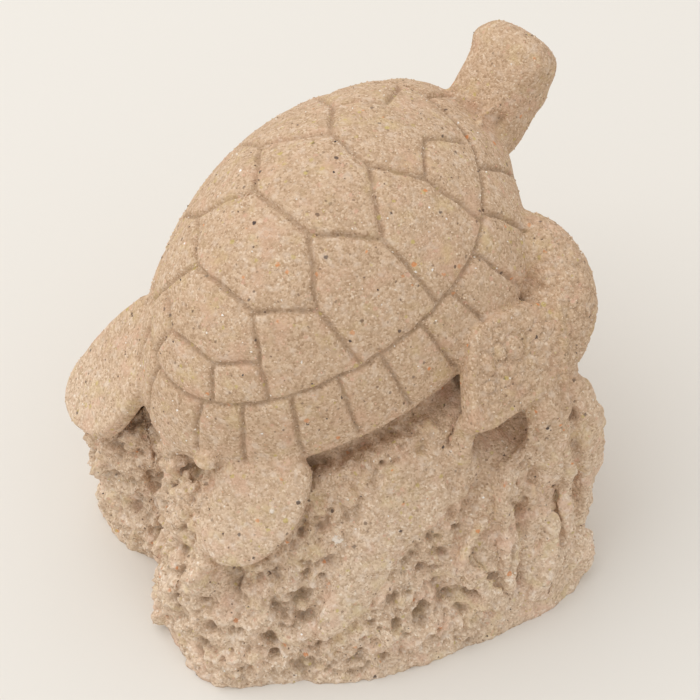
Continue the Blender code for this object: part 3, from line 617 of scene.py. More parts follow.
ROCK_CALM_HEIGHT = 5.0
CALM_AT_TABLE = 0.25
SMOOTH_MARGIN = 0.4
ROUGH_MARGIN = 0.8
HOLLOW_LEAST = 0.15


def undercut():
    """Hollows in a row below the rim on the right side."""
    cuts = []
    first, last = UNDERCUT_BEARINGS
    for i in range(UNDERCUT_STEPS):
        ends = []
        for k in (i, i + 1):
            bearing = math.radians(first + (last - first) * k / UNDERCUT_STEPS)
            ends.append(rim_point(UNDERCUT_REACH, bearing, UNDERCUT_LIFT))
        cuts.append((ends[0], ends[1], UNDERCUT_HALF_WIDTH, UNDERCUT_DEPTH))
    return cuts


# Single pits of the block: middle, half width and depth
PITS = (
    ((-30.1, 11.4, 19.1), 0.6, 1.2), ((-30.1, 12.5, 17.5), 1.3, 1.1), ((-32.0, 8.6, 17.4), 1.5, 1.2),
    ((-30.7, 9.3, 20.3), 1.0, 0.9), ((-32.1, 5.7, 20.2), 0.9, 1.3), ((-30.9, 11.2, 13.9), 0.7, 1.3),
    ((-30.3, 15.5, 16.4), 1.0, 1.2), ((-32.5, 8.7, 14.1), 1.1, 1.1), ((-31.7, 14.6, 12.0), 0.7, 1.0),
    ((-33.6, 10.6, 9.9), 0.7, 1.1), ((-34.1, 13.8, 7.6), 1.5, 1.6), ((-36.3, 7.6, 6.9), 0.8, 1.0),
    ((-32.3, 17.6, 8.1), 1.1, 1.1), ((-31.1, 17.1, 12.6), 0.8, 0.8), ((-14.5, 31.9, 16.3), 2.1, 1.0),
    ((-18.9, 28.1, 18.3), 1.5, 0.9), ((-15.9, 30.1, 14.1), 1.0, 1.0), ((-16.3, 32.9, 12.6), 1.5, 1.1),
    ((-22.4, 27.2, 14.3), 1.2, 1.4), ((-21.3, 29.9, 12.2), 1.0, 1.1), ((-23.9, 27.2, 10.8), 1.3, 1.5),
    ((-21.6, 31.6, 8.0), 1.1, 1.3), ((-18.5, 35.0, 9.4), 1.1, 1.0), ((-16.5, 36.5, 8.8), 0.9, 0.8),
    ((-14.0, 38.7, 5.7), 1.1, 1.0), ((-22.3, 25.5, 17.9), 0.8, 1.1), ((-24.3, 21.9, 19.9), 1.4, 0.9),
    ((-19.7, 31.5, 12.6), 0.7, 0.9), ((-25.7, 29.9, 3.2), 0.7, 0.8), ((-36.3, 6.3, 14.6), 0.5, 0.9),
    ((-27.9, 21.6, 13.6), 1.5, 1.0), ((-27.3, 25.3, 10.5), 1.2, 0.8), ((-13.5, 35.6, 12.3), 1.2, 0.9),
    ((-9.1, 34.4, 19.9), 0.6, 1.0), ((-6.0, 31.6, 25.6), 0.7, 1.0), ((-11.8, 36.8, 14.2), 0.7, 0.9),
    ((-6.6, 34.6, 21.2), 0.9, 0.7), ((-12.0, 34.9, 17.4), 0.8, 0.7),
)
# Small pits that riddle the block: spacing, half width as a share of it, depth, share of cells that have one
PIT_ROWS = ((4.6, 0.36, 1.2, 0.35), (2.6, 0.38, 0.8, 0.4), (1.5, 0.4, 0.5, 0.4))
PIT_WANDER = (1.7, 0.7)
# Width and depth of the least pit against the greatest, and how steep the walls of small and single pits are
LEAST_PIT = (0.65, 0.5)
PIT_STEEPNESS = (0.8, 4)
# How riddled the block is: share at a height, how far it falls in how many mm, its patches, the least
RIDDLED = (0.85, 18, 14)
RIDDLED_PATCHES = (8.0, 1.4)
LEAST_RIDDLED = 0.1
# Crust: wave length, height and sharpness of its crests, and how far up the foot it takes to be whole
CRUST_WAVES = ((5.2, 1.5), (2.6, 1.5), (1.5, 1.1))
CRUST_REST = 0.24
CRUST_GRIT = (0.9, 0.75)
CRUST_RISE = 3.5
CRUST_AT_TABLE = 0.3
# Calmer crust ahead: where it starts to grow going back, over how many mm, the least
CALM_CRUST = (-1.0, 8.0, 0.3)
# How rough the ledge is against the rest, and how far past it the crust is whole
LEDGE_ROUGHNESS = 0.3
LEDGE_MARGIN = 2.5
# Upright streaks down the steep walls: width, length, depth
STREAKS = (1.3, 6.5, 0.55)
SKIN_WAVES = ((2.6, 0.08),)
# Chips of shell that show in the skin: middle and reach, and how far they stand out
CHIPS = (((-23.5, 20.4, 23.0), 1.15), ((-17.3, 26.7, 28.9), 0.45))
CHIP_RISE = 0.3
# Ridges and grooves: half width, depth (less than nothing where it stands up), and points along it
LINES = (
    (0.36, -1.0, ((-3.1, -25.9, 57.2), (-1.9, -28.4, 56.5), (-2.4, -29.6, 57.5))),
    (0.8, 0.8, ((-3.8, -29.7, 56.2), (-4.1, -29.2, 55.6))),
    (0.45, 0.4, ((2.6, -22.6, 59.95), (-0.5, -22.4, 59.95), (-3.1, -22.1, 59.85), (-5.5, -21.6, 59.65),
                 (-8.0, -20.8, 59.35))),
    (0.5, 0.6, ((2.7, -27.8, 56.6), (0.5, -28.0, 56.6), (-0.9, -28.2, 56.5))),
    (0.55, -0.65, ((-27.2, -17.5, 46.1), (-29.6, -16.2, 43.9), (-32.2, -14.5, 38.9), (-34.9, -12.6, 33.2),
                  (-35.8, -11.0, 28.8), (-36.6, -10.2, 22.9), (-37.3, -10.6, 16.5), (-38.7, -10.4, 13.5),
                  (-39.2, -10.0, 10.3), (-41.2, -6.3, 8.9))),
    (0.5, -0.7, ((-32.7, -7.7, 33.3), (-32.9, -7.3, 29.3), (-33.6, -5.6, 28.2), (-33.8, -2.8, 27.3),
                  (-34.8, -0.8, 24.3), (-36.0, -0.5, 20.0), (-37.2, 0.0, 16.9), (-38.2, 1.0, 12.8))),
    (0.4, -0.35, ((-30.4, 2.2, 35.0), (-30.3, 2.5, 30.9), (-29.8, 2.9, 27.5))),
    (0.45, -0.5, ((-36.0, -7.4, 19.6), (-38.0, -8.2, 16.1), (-39.4, -7.7, 13.7), (-40.5, -6.0, 10.9))),
    (0.4, -0.35, ((-37.8, -6.4, 15.6), (-37.1, -4.6, 15.5), (-37.0, -2.8, 12.9), (-38.8, -0.2, 12.2))),
    (0.35, 0.35, ((-38.1, -4.7, 13.4), (-39.5, -3.6, 9.7))),
    (0.45, 0.7, ((-33.7, -7.8, 32.0), (-33.8, -7.6, 29.8), (-34.2, -5.9, 26.9))),
    (0.45, -0.6, ((-34.6, 5.8, 18.1), (-36.2, 6.1, 14.9), (-37.1, 4.5, 10.6), (-38.4, 3.4, 8.3),
                  (-39.2, 1.9, 4.8))),
    (1.0, -0.45, ((-35.8, -10.7, 18.3), (-36.7, -10.4, 16.7), (-37.4, -10.0, 14.6), (-38.6, -9.7, 12.4))),
    (1.5, -1.0, ((-7.8, 30.8, 27.0), (-8.6, 32.0, 24.1), (-9.8, 33.2, 22.0), (-11.0, 34.2, 19.6),
                 (-11.8, 34.9, 17.6), (-11.2, 36.6, 14.6))),
    (0.5, 0.8, ((-34.0, -5.5, 27.4), (-34.5, -3.0, 26.7), (-35.5, -1.9, 23.5), (-34.8, -3.4, 19.5),
                (-35.9, -3.7, 15.8), (-37.9, -0.7, 15.4), (-38.9, 1.0, 11.1))),
    (0.5, 0.6, ((-35.8, -5.3, 22.4), (-36.3, -5.4, 17.6))),
    (0.5, 1.2, ((-35.7, -4.3, 20.9), (-35.8, -4.4, 20.7))),
    (0.7, 0.9, ((-34.9, -13.8, 31.4), (-35.0, -13.8, 30.8))),
    (0.8, 0.8, ((-36.3, -13.7, 25.8), (-37.0, -14.2, 23.7))),
    (0.45, 0.3, ((-22.7, -16.2, 46.6), (-24.3, -18.0, 45.9), (-26.6, -20.0, 44.3))),
    (0.35, 0.5, ((-9.0, 29.1, 33.5), (-8.6, 28.6, 32.2), (-8.0, 29.0, 31.2))),
)


# How far cell middles are spread before lots are drawn for them, and how far the forms are looked for
LOT_SPREAD = 7.3
SEARCH_REACH = 3.0
# Seed of the wander, which would otherwise follow the clock
WANDER_SEED = 7


def in_head(places):
    """Ahead, right and up of every place, from the middle of the head."""
    right, up, ahead = (np.array(d) for d in head_directions())
    away = places - np.array(HEAD_CENTRE)
    return away @ ahead, away @ right, away @ up


def noise_over(places, length):
    """Smooth noise of one wave length over all the places."""
    return np.array([noise.noise(Vector(p) / length) for p in places])


def cells_over(places, length):
    """Distance to the nearest cell middle, gap to the next cell, and two numbers from 0 to 1 for the cell."""
    found = np.empty((len(places), 4))
    for i, p in enumerate(places):
        distances, middles = noise.voronoi(Vector(p) / length)
        lot = noise.cell_vector(middles[0] * LOT_SPREAD)
        found[i] = distances[0], distances[1] - distances[0], lot.x, lot.y
    return found[:, 0] * length, found[:, 1] * length, found[:, 2], found[:, 3]


def distance_to(forms, places):
    """Distance from every place to the nearest of some forms, as far as it is looked for."""
    tree = form_tree(forms)
    found = [tree.find_nearest(Vector(p), SEARCH_REACH)[3] for p in places]
    return np.array([SEARCH_REACH if d is None else d for d in found])


def dent(places, half_width, deep, points):
    """Depth of a rounded dent that runs from point to point."""
    gap = np.full(len(places), np.inf)
    for start, end in zip(points, points[1:]):
        a = np.array(start)
        run = np.array(end) - a
        share = np.clip(((places - a) @ run) / (run @ run), 0, 1)
        gap = np.minimum(gap, np.linalg.norm(places - (a + share[:, None] * run), axis=1))
    return deep * np.exp(-(gap / half_width) ** 2)


def wandered(places, length, reach):
    """The same places, each moved a little by smooth noise."""
    noise.seed_set(WANDER_SEED)
    return places + np.array([noise.noise_vector(Vector(p) / length) * reach for p in places])


def plate_depth(places):
    """Depth of the seams of the shell and of the rounded edges of its plates."""
    seams = seam_tree()
    gap = np.array([seams.find(p)[2] for p in wandered(places, SEAM_WANDER_LENGTH, SEAM_WANDER)])
    groove = SEAM_DEPTH * np.exp(-(gap / SEAM_HALF_WIDTH) ** SEAM_STEEPNESS)
    return groove + PLATE_EDGE_DROP * np.exp(-(gap / PLATE_EDGE_WIDTH) ** 2)


# Face: eyes as (ahead, right, up) with an eyeball, a lid crease round it, and the line of the mouth
EYE = (3.7, 6.1, 1.8)
EYE_HALF_LENGTH = 1.5
EYE_HALF_HEIGHT = 0.85
EYE_RISE = 0.16
EYE_SUNK = 2.2
LID_CREASE = (1.25, 0.26, 0.16)
# Mouth: how far ahead its line is level, its height there, its slope behind, where it ends and how softly
MOUTH_FRONT = (5.5, -0.9)
MOUTH_SLOPE = 0.42
MOUTH_END = (0.4, 0.8)
MOUTH_HALF_WIDTH = 0.36
MOUTH_DEPTH = 0.3


def face_depth(places):
    """Depth of the creases round the eyes and along the mouth."""
    ahead, right, up = in_head(places)
    across = np.hypot((ahead - EYE[0]) / EYE_HALF_LENGTH, (up - EYE[2]) / EYE_HALF_HEIGHT)
    beside = np.clip(np.abs(right) - EYE[1] + EYE_SUNK, 0, 1)
    ring, half_width, deep = LID_CREASE
    depth = deep * np.exp(-((across - ring) / half_width) ** 2) * beside
    depth -= EYE_RISE * np.clip(1 - across ** 2, 0, 1) * beside
    front, level = MOUTH_FRONT
    end, fade = MOUTH_END
    line = level - MOUTH_SLOPE * np.maximum(front - ahead, 0)
    below = np.exp(-((up - line) / MOUTH_HALF_WIDTH) ** 2)
    return depth + MOUTH_DEPTH * below * np.clip((ahead - end) / fade, 0, 1)


# Skin of the front flippers: pebble scales inside a smooth border along the trailing edge
SCALE_SIZE = 1.6
ARM_SCALE_SIZE = 2.1
SCALE_GROOVE = (0.24, 0.26)
SCALE_DOME = (0.6, 0.1)
# Border: its width, half width and depth of its groove, and where it starts ahead and how softly
BORDER_WIDTH = 1.5
BORDER_GROOVE = (0.4, 0.26)
BORDER_START = (7.0, 3.0)
BORDER_FADE = 0.4
# Blade: how far outside its outline and off its plane the skin belongs to it, and how flat its scales run
BLADE_MARGIN = -0.5
BLADE_REACH = 3.5
SCALE_FLATNESS = 0.3
# Big scales: middle ahead and up, half length and half height; their rise, groove (place, width, depth), end
BIG_SCALES = ((-2.4, 2.3, 0.95, 1.65), (2.4, 2.3, 1.35, 1.65), (-3.6, -0.6, 0.9, 0.8), (0.0, 2.9, 0.8, 1.3))
BIG_SCALE_RISE = 0.34
BIG_SCALE_GROOVE = (1.15, 0.2, 0.36)
BIG_SCALE_END = 1.4


def scales_depth(places, size):
    """Depth between pebble scales of about one size, less their own rise."""
    near, edge, _, _ = cells_over(places, size)
    half_width, deep = SCALE_GROOVE
    reach, rise = SCALE_DOME
    return deep * np.exp(-(edge / half_width) ** 2) - rise * np.clip(1 - (near / size / reach) ** 2, 0, 1)


def inside_outline(corners, across, along):
    """How far inside a closed outline each place on its plane is, negative outside."""
    outline = np.array([tuple(p) for p in closed_curve(corners, OUTLINE_STEPS)])
    least = np.full(len(across), np.inf)
    crossings = np.zeros(len(across), dtype=int)
    for (x0, y0), (x1, y1) in zip(outline, np.roll(outline, -1, axis=0)):
        share = ((across - x0) * (x1 - x0) + (along - y0) * (y1 - y0)) / ((x1 - x0) ** 2 + (y1 - y0) ** 2)
        share = np.clip(share, 0, 1)
        least = np.minimum(least, np.hypot(across - x0 - share * (x1 - x0), along - y0 - share * (y1 - y0)))
        if y0 != y1:
            over = x0 + (along - y0) / (y1 - y0) * (x1 - x0) > across
            crossings += ((y0 > along) != (y1 > along)) & over
    return np.where(crossings % 2 == 1, least, -least)


def flipper_depth(places):
    """Depth of the scales of both front flippers, and of the groove inside the border of the blades."""
    depth = scales_depth(places, ARM_SCALE_SIZE)
    for hand, (origin, face, _) in ((1, FRONT_RIGHT_SET), (-1, FRONT_LEFT_SET)):
        away = places - np.array(origin)
        ahead, rise, out = (away @ np.array(direction) for direction in plane_directions(face))
        corners = FRONT_BLADE if hand == 1 else mirrored(FRONT_BLADE)
        inside = inside_outline(corners, ahead, rise)
        flat = (inside > BLADE_MARGIN) & (np.abs(out) < BLADE_REACH)
        cells = scales_depth(np.column_stack((ahead, rise, out * SCALE_FLATNESS))[flat], SCALE_SIZE)
        place, width, deep = BIG_SCALE_GROOVE
        for middle, height, half_long, half_high in BIG_SCALES:
            reach = np.hypot((ahead[flat] * hand - middle) / half_long, (rise[flat] - height) / half_high)
            raised = -BIG_SCALE_RISE * np.clip(1 - reach ** 2, 0, 1) ** 0.5
            raised += deep * np.exp(-((reach - place) / width) ** 2)
            cells = np.where(reach < BIG_SCALE_END, raised, cells)
        width, deep = BORDER_GROOVE
        start, fade = BORDER_START
        edge = np.maximum(inside[flat], 0)
        trailing = np.clip((start - ahead[flat] * hand) / fade, 0, 1)
        bordered = deep * np.exp(-((edge - BORDER_WIDTH) / width) ** 2)
        bordered += cells * np.clip((edge - BORDER_WIDTH) / BORDER_FADE, 0, 1)
        depth[flat] = trailing * bordered + (1 - trailing) * cells
    return depth


def swell_depth(places):
    """Depth of the reef's broad swells."""
    depth = np.full(len(places), -ROCK_SWELL)
    for length, height in ROCK_WAVES:
        depth += height * noise_over(places, length)
    return depth * np.clip(CALM_AT_TABLE + places[:, 2] / ROCK_CALM_HEIGHT, 0, 1)


def rock_depth(places):
    """Depth of the reef's crust and pits, quieter at the foot."""
    length, height = CRUST_GRIT
    depth = height * noise_over(places, length)
    for length, height in CRUST_WAVES:
        depth += height * (np.abs(noise_over(places, length)) - CRUST_REST)
    start, run, least = CALM_CRUST
    grown = np.clip((places[:, 1] - start) / run, least, 1)
    depth *= grown
    width, length, height = STREAKS
    depth += height * noise_over(places * np.array((1, 1, width / length)), width)
    share_there, there, fall = RIDDLED
    length, strength = RIDDLED_PATCHES
    riddled = share_there - (places[:, 2] - there) / fall + noise_over(places, length) * strength
    riddled = np.clip(riddled, LEAST_RIDDLED, 1) * grown
    ragged = wandered(places, *PIT_WANDER)
    least_width, least_depth = LEAST_PIT
    soft, steep = PIT_STEEPNESS
    for spacing, half_width, deep, share in PIT_ROWS:
        near, _, lot, size = cells_over(ragged, spacing)
        reach = spacing * half_width * (least_width + (1 - least_width) * size)
        well = np.clip(1 - (near / reach) ** 2, 0, 1) ** soft
        depth += deep * (least_depth + (1 - least_depth) * size) * well * (lot < share * riddled)
    for middle, half_width, deep in PITS:
        gap = np.linalg.norm(ragged - np.array(middle), axis=1)
        depth += deep * np.exp(-(gap / half_width) ** steep)
    return depth * np.clip(CRUST_AT_TABLE + places[:, 2] / CRUST_RISE, 0, 1)


# How far off their forms the skin still belongs to shell, head and front flippers, and how these fade
SHELL_SKIN = 0.9
SHELL_LEAST_UP = -0.5
HEAD_SKIN = 0.6
FLIPPER_SKIN = 1.6
FLIPPER_FADE = 0.8
# Painted shade: depth where the sand starts to be darkened as shade in seams and pits and depth where that is
# whole, and half width and weight of the band of painted shade under the rim
PAINTED_SHADE_DEPTHS = (0.2, 0.9)
RIM_SHADE = (0.8, 1.6)


def relief(skin):
    """Press plates, face, scales and reef into the skin, along its own normals, and mark painted shade where
    it is sunk and under the rim.
    """
    count = len(skin.vertices)
    places = np.empty(count * 3)
    skin.vertices.foreach_get("co", places)
    normals = np.empty(count * 3)
    skin.vertex_normals.foreach_get("vector", normals)
    places, normals = places.reshape(-1, 3), normals.reshape(-1, 3)
    fine, broad = np.zeros(count), np.zeros(count)
    forms = body_forms()
    by_name = {}
    for form in forms:
        by_name.setdefault(form.name.split(".")[0], []).append(form)
    smooth_forms = [form for form in forms if not form.name.startswith("ledge")]
    rocky = np.clip((distance_to(smooth_forms, places) - SMOOTH_MARGIN) / ROUGH_MARGIN, 0, 1)
    rocky *= np.clip(LEDGE_ROUGHNESS + distance_to(by_name["ledge"], places) / LEDGE_MARGIN, 0, 1)
    shell = (distance_to(by_name["shell"], places) < SHELL_SKIN) & (normals[:, 2] > SHELL_LEAST_UP)
    fine[shell] += plate_depth(places[shell])
    head = distance_to(by_name["head"] + by_name["brow"] + by_name["cheek"], places) < HEAD_SKIN
    fine[head & ~shell] += face_depth(places[head & ~shell])
    fronts = [f for name in by_name for f in by_name[name] if name.startswith("front")]
    near = distance_to(fronts, places)
    scaled = (near < FLIPPER_SKIN) & ~shell
    faded = np.clip((FLIPPER_SKIN - near[scaled]) / FLIPPER_FADE, 0, 1)
    fine[scaled] += flipper_depth(places[scaled]) * faded
    rock = (rocky > 0) & ~shell
    fine[rock] += rock_depth(places[rock]) * rocky[rock]
    broad[rock] += swell_depth(places[rock]) * rocky[rock]
    for line in LINES:
        fine += dent(places, *line)
    for start, end, half_width, deep in [*HOLLOWS, *undercut()]:
        broad += dent(places, half_width, deep, (start, end)) * np.clip(rocky + HOLLOW_LEAST, 0, 1)
    for length, height in SKIN_WAVES:
        broad += height * noise_over(places, length)
    places -= normals * (fine + broad)[:, None]
    chips = np.zeros(count)
    for middle, reach in CHIPS:
        chips[np.abs(places - np.array(middle)).sum(axis=1) < reach] = 1
    places += normals * CHIP_RISE * chips[:, None]
    skin.vertices.foreach_set("co", places.reshape(-1))
    # Painted shade: the sand is darkened in seams, pits and a band under the rim, where shade falls
    painted_shade = np.clip((fine - PAINTED_SHADE_DEPTHS[0]) / (PAINTED_SHADE_DEPTHS[1] - PAINTED_SHADE_DEPTHS[0]), 0, 1)
    for start, end, _, _ in undercut():
        painted_shade = np.maximum(painted_shade, dent(places, *RIM_SHADE, (start, end)) * ~shell)
    # The painted shade is stored under the name sunk
    for name, values in (("sunk", painted_shade), ("chip", chips)):
        skin.attributes.new(name, "FLOAT", "POINT").data.foreach_set("value", values)
    skin.update()


def thin_out(skin, triangles):
    """Collapse the skin to about a number of triangles."""
    now = sum(len(face.vertices) - 2 for face in skin.polygons)
    return remade(skin, "thin out", "DECIMATE", decimate_type="COLLAPSE", ratio=triangles / now,
                  use_collapse_triangulate=True)


def cut_flat(skin):
    """Cut the underside flat at the table and close it with one face."""
    bm = opened(skin)
    everything = bm.verts[:] + bm.edges[:] + bm.faces[:]
    bmesh.ops.bisect_plane(
        bm, geom=everything, dist=CUT_TOLERANCE, plane_co=(0, 0, 0), plane_no=(0, 0, 1), clear_inner=True)
    bmesh.ops.contextual_create(bm, geom=[edge for edge in bm.edges if edge.is_boundary])
    for v in bm.verts:
        if v.co.z < TABLE_SNAP:
            v.co.z = 0.0
    bmesh.ops.recalc_face_normals(bm, faces=bm.faces)
    closed(bm, skin)


def set_down(skin):
    """Bring the middle of the underside's box to the origin and turn millimetres into metres."""
    low = [min(v.co[k] for v in skin.vertices) for k in range(2)]
    high = [max(v.co[k] for v in skin.vertices) for k in range(2)]
    shift = Vector((-(low[0] + high[0]) / 2, -(low[1] + high[1]) / 2, 0.0))
    for v in skin.vertices:
        v.co = (v.co + shift) * MM


skin = run_together(body_forms() + rock_forms(), FINE_CELL)
soften(skin)
relief(skin)
skin = thin_out(skin, MOST_TRIANGLES)
cut_flat(skin)
set_down(skin)

# Bonded sand: fine grains from tan to cream, with a drift of rosy and yellow ones, darkened by painted shade
# where it is sunk
GRAIN_SIZE = 0.0003
GRAIN_BUMP = (0.9, 0.00012)
SAND_COLOURS = (
    (0.05, (0.30, 0.185, 0.108)), (0.25, (0.465, 0.31, 0.195)), (0.50, (0.59, 0.415, 0.28)),
    (0.72, (0.67, 0.49, 0.34)), (0.95, (0.89, 0.77, 0.635)),
)
# Unevenness of the tone: its share, and the scale, detail and shift of its noise
SAND_TONES = ((0.3, 2300.0, 2.0, 0.013), (0.2, 160.0, 4.0, 0.021))
# Drifts of other sand: colour, scale, detail and shift of the noise, where it starts and is whole, share
SAND_DRIFTS = (
    ((0.66, 0.415, 0.29, 1.0), 230.0, 3.0, 0.034, 0.5, 0.75, 0.55),
    ((0.63, 0.475, 0.255, 1.0), 300.0, 3.0, 0.055, 0.52, 0.78, 0.55),
    ((0.78, 0.64, 0.52, 1.0), 820.0, 2.0, 0.071, 0.52, 0.74, 0.45),
    ((0.45, 0.31, 0.20, 1.0), 700.0, 2.0, 0.089, 0.53, 0.75, 0.45),
)
# Painted light: how much paler and cooler the sand is made low down on the block, standing in for fill light
# there, and the heights in metres where that ends and where it is whole
LOW_PAINTED_LIGHT = (1.22, 1.33, 1.46, 1.0)
LOW_HEIGHTS = (0.040, 0.012)
# Painted shade: colour and weight of the darkening laid into seams, pits and the band under the rim
PAINTED_SHADE_SAND = (0.31, 0.215, 0.14, 1.0)
PAINTED_SHADE_SHARE = 0.5
CHIP_COLOUR = (0.86, 0.76, 0.66, 1.0)
# Odd grains in the skin: name, colour, spacing, radius as a share of it, share of places, strength, seed
ODD_GRAINS = (
    ("freckles", (0.19, 0.12, 0.08, 1.0), 0.00075, 0.30, 0.22, 0.65, 0.3),
    ("brown grains", (0.12, 0.075, 0.05, 1.0), 0.0013, 0.25, 0.08, 0.8, 6.2),
    ("dark grains", (0.06, 0.045, 0.045, 1.0), 0.0015, 0.23, 0.11, 0.95, 1.1),
    ("rust grains", (0.70, 0.26, 0.09, 1.0), 0.0014, 0.28, 0.06, 0.85, 2.7),
    ("yellow grains", (0.56, 0.45, 0.13, 1.0), 0.0012, 0.34, 0.13, 0.65, 3.1),
    ("rosy grains", (0.68, 0.40, 0.29, 1.0), 0.0010, 0.40, 0.15, 0.6, 4.6),
    # Quartz grains painted near pure white: partly pale quartz, partly painted glints
    ("quartz and painted glints", (1.0, 0.98, 0.95, 1.0), 0.0011, 0.20, 0.045, 1.0, 5.3),
)
# How ragged the outlines of odd grains are: scale of the noise and how far it moves them
GRAIN_RAGGEDNESS = (3300.0, 0.0005)
# The smallest and the faintest of a kind against the others, and where a grain starts to fade and ends
LEAST_SIZE = 0.4
LEAST_STRENGTH = 0.5
GRAIN_EDGE = (0.7, 1.15)


def add_node(tree, kind, inputs, **settings):
    """New node of a kind with its settings, and each input given a value or fed by another node's output."""
    node = tree.nodes.new(kind)
    for name, setting in settings.items():
        setattr(node, name, setting)
    for slot, value in inputs.items():
        if isinstance(value, bpy.types.NodeSocket):
            tree.links.new(value, node.inputs[slot])
        else:
            node.inputs[slot].default_value = value
    return node


def new_group(name, kind, inputs, outputs):
    """New node group with named inputs and outputs, and the sockets of both inside it."""
    group = bpy.data.node_groups.new(name, kind)
    for way, names in (("INPUT", inputs), ("OUTPUT", outputs)):
        for socket, socket_kind in names.items():
            group.interface.new_socket(socket, in_out=way, socket_type="NodeSocket" + socket_kind)
    return group, group.nodes.new("NodeGroupInput").outputs, group.nodes.new("NodeGroupOutput").inputs


def new_material(name, roughness, specular):
    """New material, its tree and its shader."""
    material = bpy.data.materials.new(name)
    material.use_nodes = True
    shader = material.node_tree.nodes["Principled BSDF"]
    shader.inputs["Roughness"].default_value = roughness
    shader.inputs["Specular IOR Level"].default_value = specular
    return material, material.node_tree, shader


def object_place(tree):
    """Place on the piece, for patterns that stay with it."""
    return tree.nodes.new("ShaderNodeTexCoord").outputs["Object"]


def mixed(tree, share, first, second, how="MIX"):
    """Mix of two colours, the second by its share."""
    inputs = {0: share, 6: first, 7: second}
    return add_node(tree, "ShaderNodeMix", inputs, data_type="RGBA", blend_type=how).outputs[2]


def colour_steps(tree, value, steps, run="LINEAR"):
    """Colour read off a ramp of (position, colour) steps at a value."""
    node = add_node(tree, "ShaderNodeValToRGB", {0: value})
    node.color_ramp.interpolation = run
    while len(node.color_ramp.elements) < len(steps):
        node.color_ramp.elements.new(0.5)
    for stop, (position, colour) in zip(node.color_ramp.elements, steps):
        stop.position = position
        stop.color = (*colour, 1.0)
    return node.outputs[0]


def sand_group():
    """Node group: colour and height of packed sand grains of one size."""
    group, given, result = new_group(
        "packed sand", "ShaderNodeTree", {"Grain Size": "Float"}, {"Colour": "Color", "Height": "Float"})
    place = object_place(group)

    def noise_at(scale, detail, shift):
        """Noise value at a scale, moved so that no two agree."""
        moved = add_node(group, "ShaderNodeVectorMath", {0: place, 1: (shift, shift * 2, shift * 3)})
        inputs = {"Vector": moved.outputs[0], "Scale": scale, "Detail": detail}
        return add_node(group, "ShaderNodeTexNoise", inputs).outputs[0]

    count = add_node(group, "ShaderNodeMath", {0: 1.0, 1: given["Grain Size"]}, operation="DIVIDE").outputs[0]
    cells = add_node(group, "ShaderNodeTexVoronoi", {"Vector": place, "Scale": count}).outputs
    tone = add_node(group, "ShaderNodeSeparateColor", {0: cells["Color"]}).outputs[0]
    for share, *waves in SAND_TONES:
        tone = mixed(group, share, tone, noise_at(*waves))
    colour = colour_steps(group, tone, SAND_COLOURS)
    for drift, scale, detail, shift, start, whole, share in SAND_DRIFTS:
        drifted = {0: noise_at(scale, detail, shift), 1: start, 2: whole, 4: share}
        spread = add_node(group, "ShaderNodeMapRange", drifted, interpolation_type="SMOOTHSTEP").outputs[0]
        colour = mixed(group, spread, colour, drift)
    group.links.new(colour, result["Colour"])
    group.links.new(cells["Distance"], result["Height"])
    return group


def odd_grain_group():
    """Node group: scattered single grains of one kind laid over a colour."""
    inputs = {"Colour": "Color", "Grain Colour": "Color"}
    inputs.update((name, "Float") for name in ("Spacing", "Radius", "Share", "Strength", "Seed"))
    group, given, result = new_group("odd grains", "ShaderNodeTree", inputs, {"Colour": "Color"})
    place = object_place(group)

    def number(kind, *values):
        """Output of a Math node of one kind over some values."""
        return add_node(group, "ShaderNodeMath", dict(enumerate(values)), operation=kind).outputs[0]

    scale, reach = GRAIN_RAGGEDNESS
    ragged = add_node(group, "ShaderNodeTexNoise", {"Vector": place, "Scale": scale}).outputs["Color"]
    shift = {0: ragged, 1: (reach,) * 3, 2: given["Seed"]}
    shifted = add_node(group, "ShaderNodeVectorMath", shift, operation="MULTIPLY_ADD").outputs[0]
    moved = add_node(group, "ShaderNodeVectorMath", {0: place, 1: shifted}).outputs[0]
    per_metre = number("DIVIDE", 1.0, given["Spacing"])
    cells = add_node(group, "ShaderNodeTexVoronoi", {"Vector": moved, "Scale": per_metre}).outputs
    lot = add_node(group, "ShaderNodeSeparateColor", {0: cells["Color"]}).outputs
    chosen = number("LESS_THAN", lot[0], given["Share"])
    size = number("MULTIPLY", given["Radius"], number("MULTIPLY_ADD", lot[1], 1 - LEAST_SIZE, LEAST_SIZE))
    inner, outer = (number("MULTIPLY", size, share) for share in GRAIN_EDGE)
    edge = {0: cells["Distance"], 1: inner, 2: outer, 3: 1.0, 4: 0.0}
    within = add_node(group, "ShaderNodeMapRange", edge, interpolation_type="SMOOTHSTEP").outputs[0]
    strength = number("MULTIPLY_ADD", lot[2], 1 - LEAST_STRENGTH, LEAST_STRENGTH)
    faint = number("MULTIPLY", given["Strength"], strength)
    mask = number("MULTIPLY", number("MULTIPLY", within, chosen), faint)
    group.links.new(mixed(group, mask, given["Colour"], given["Grain Colour"]), result["Colour"])
    return group


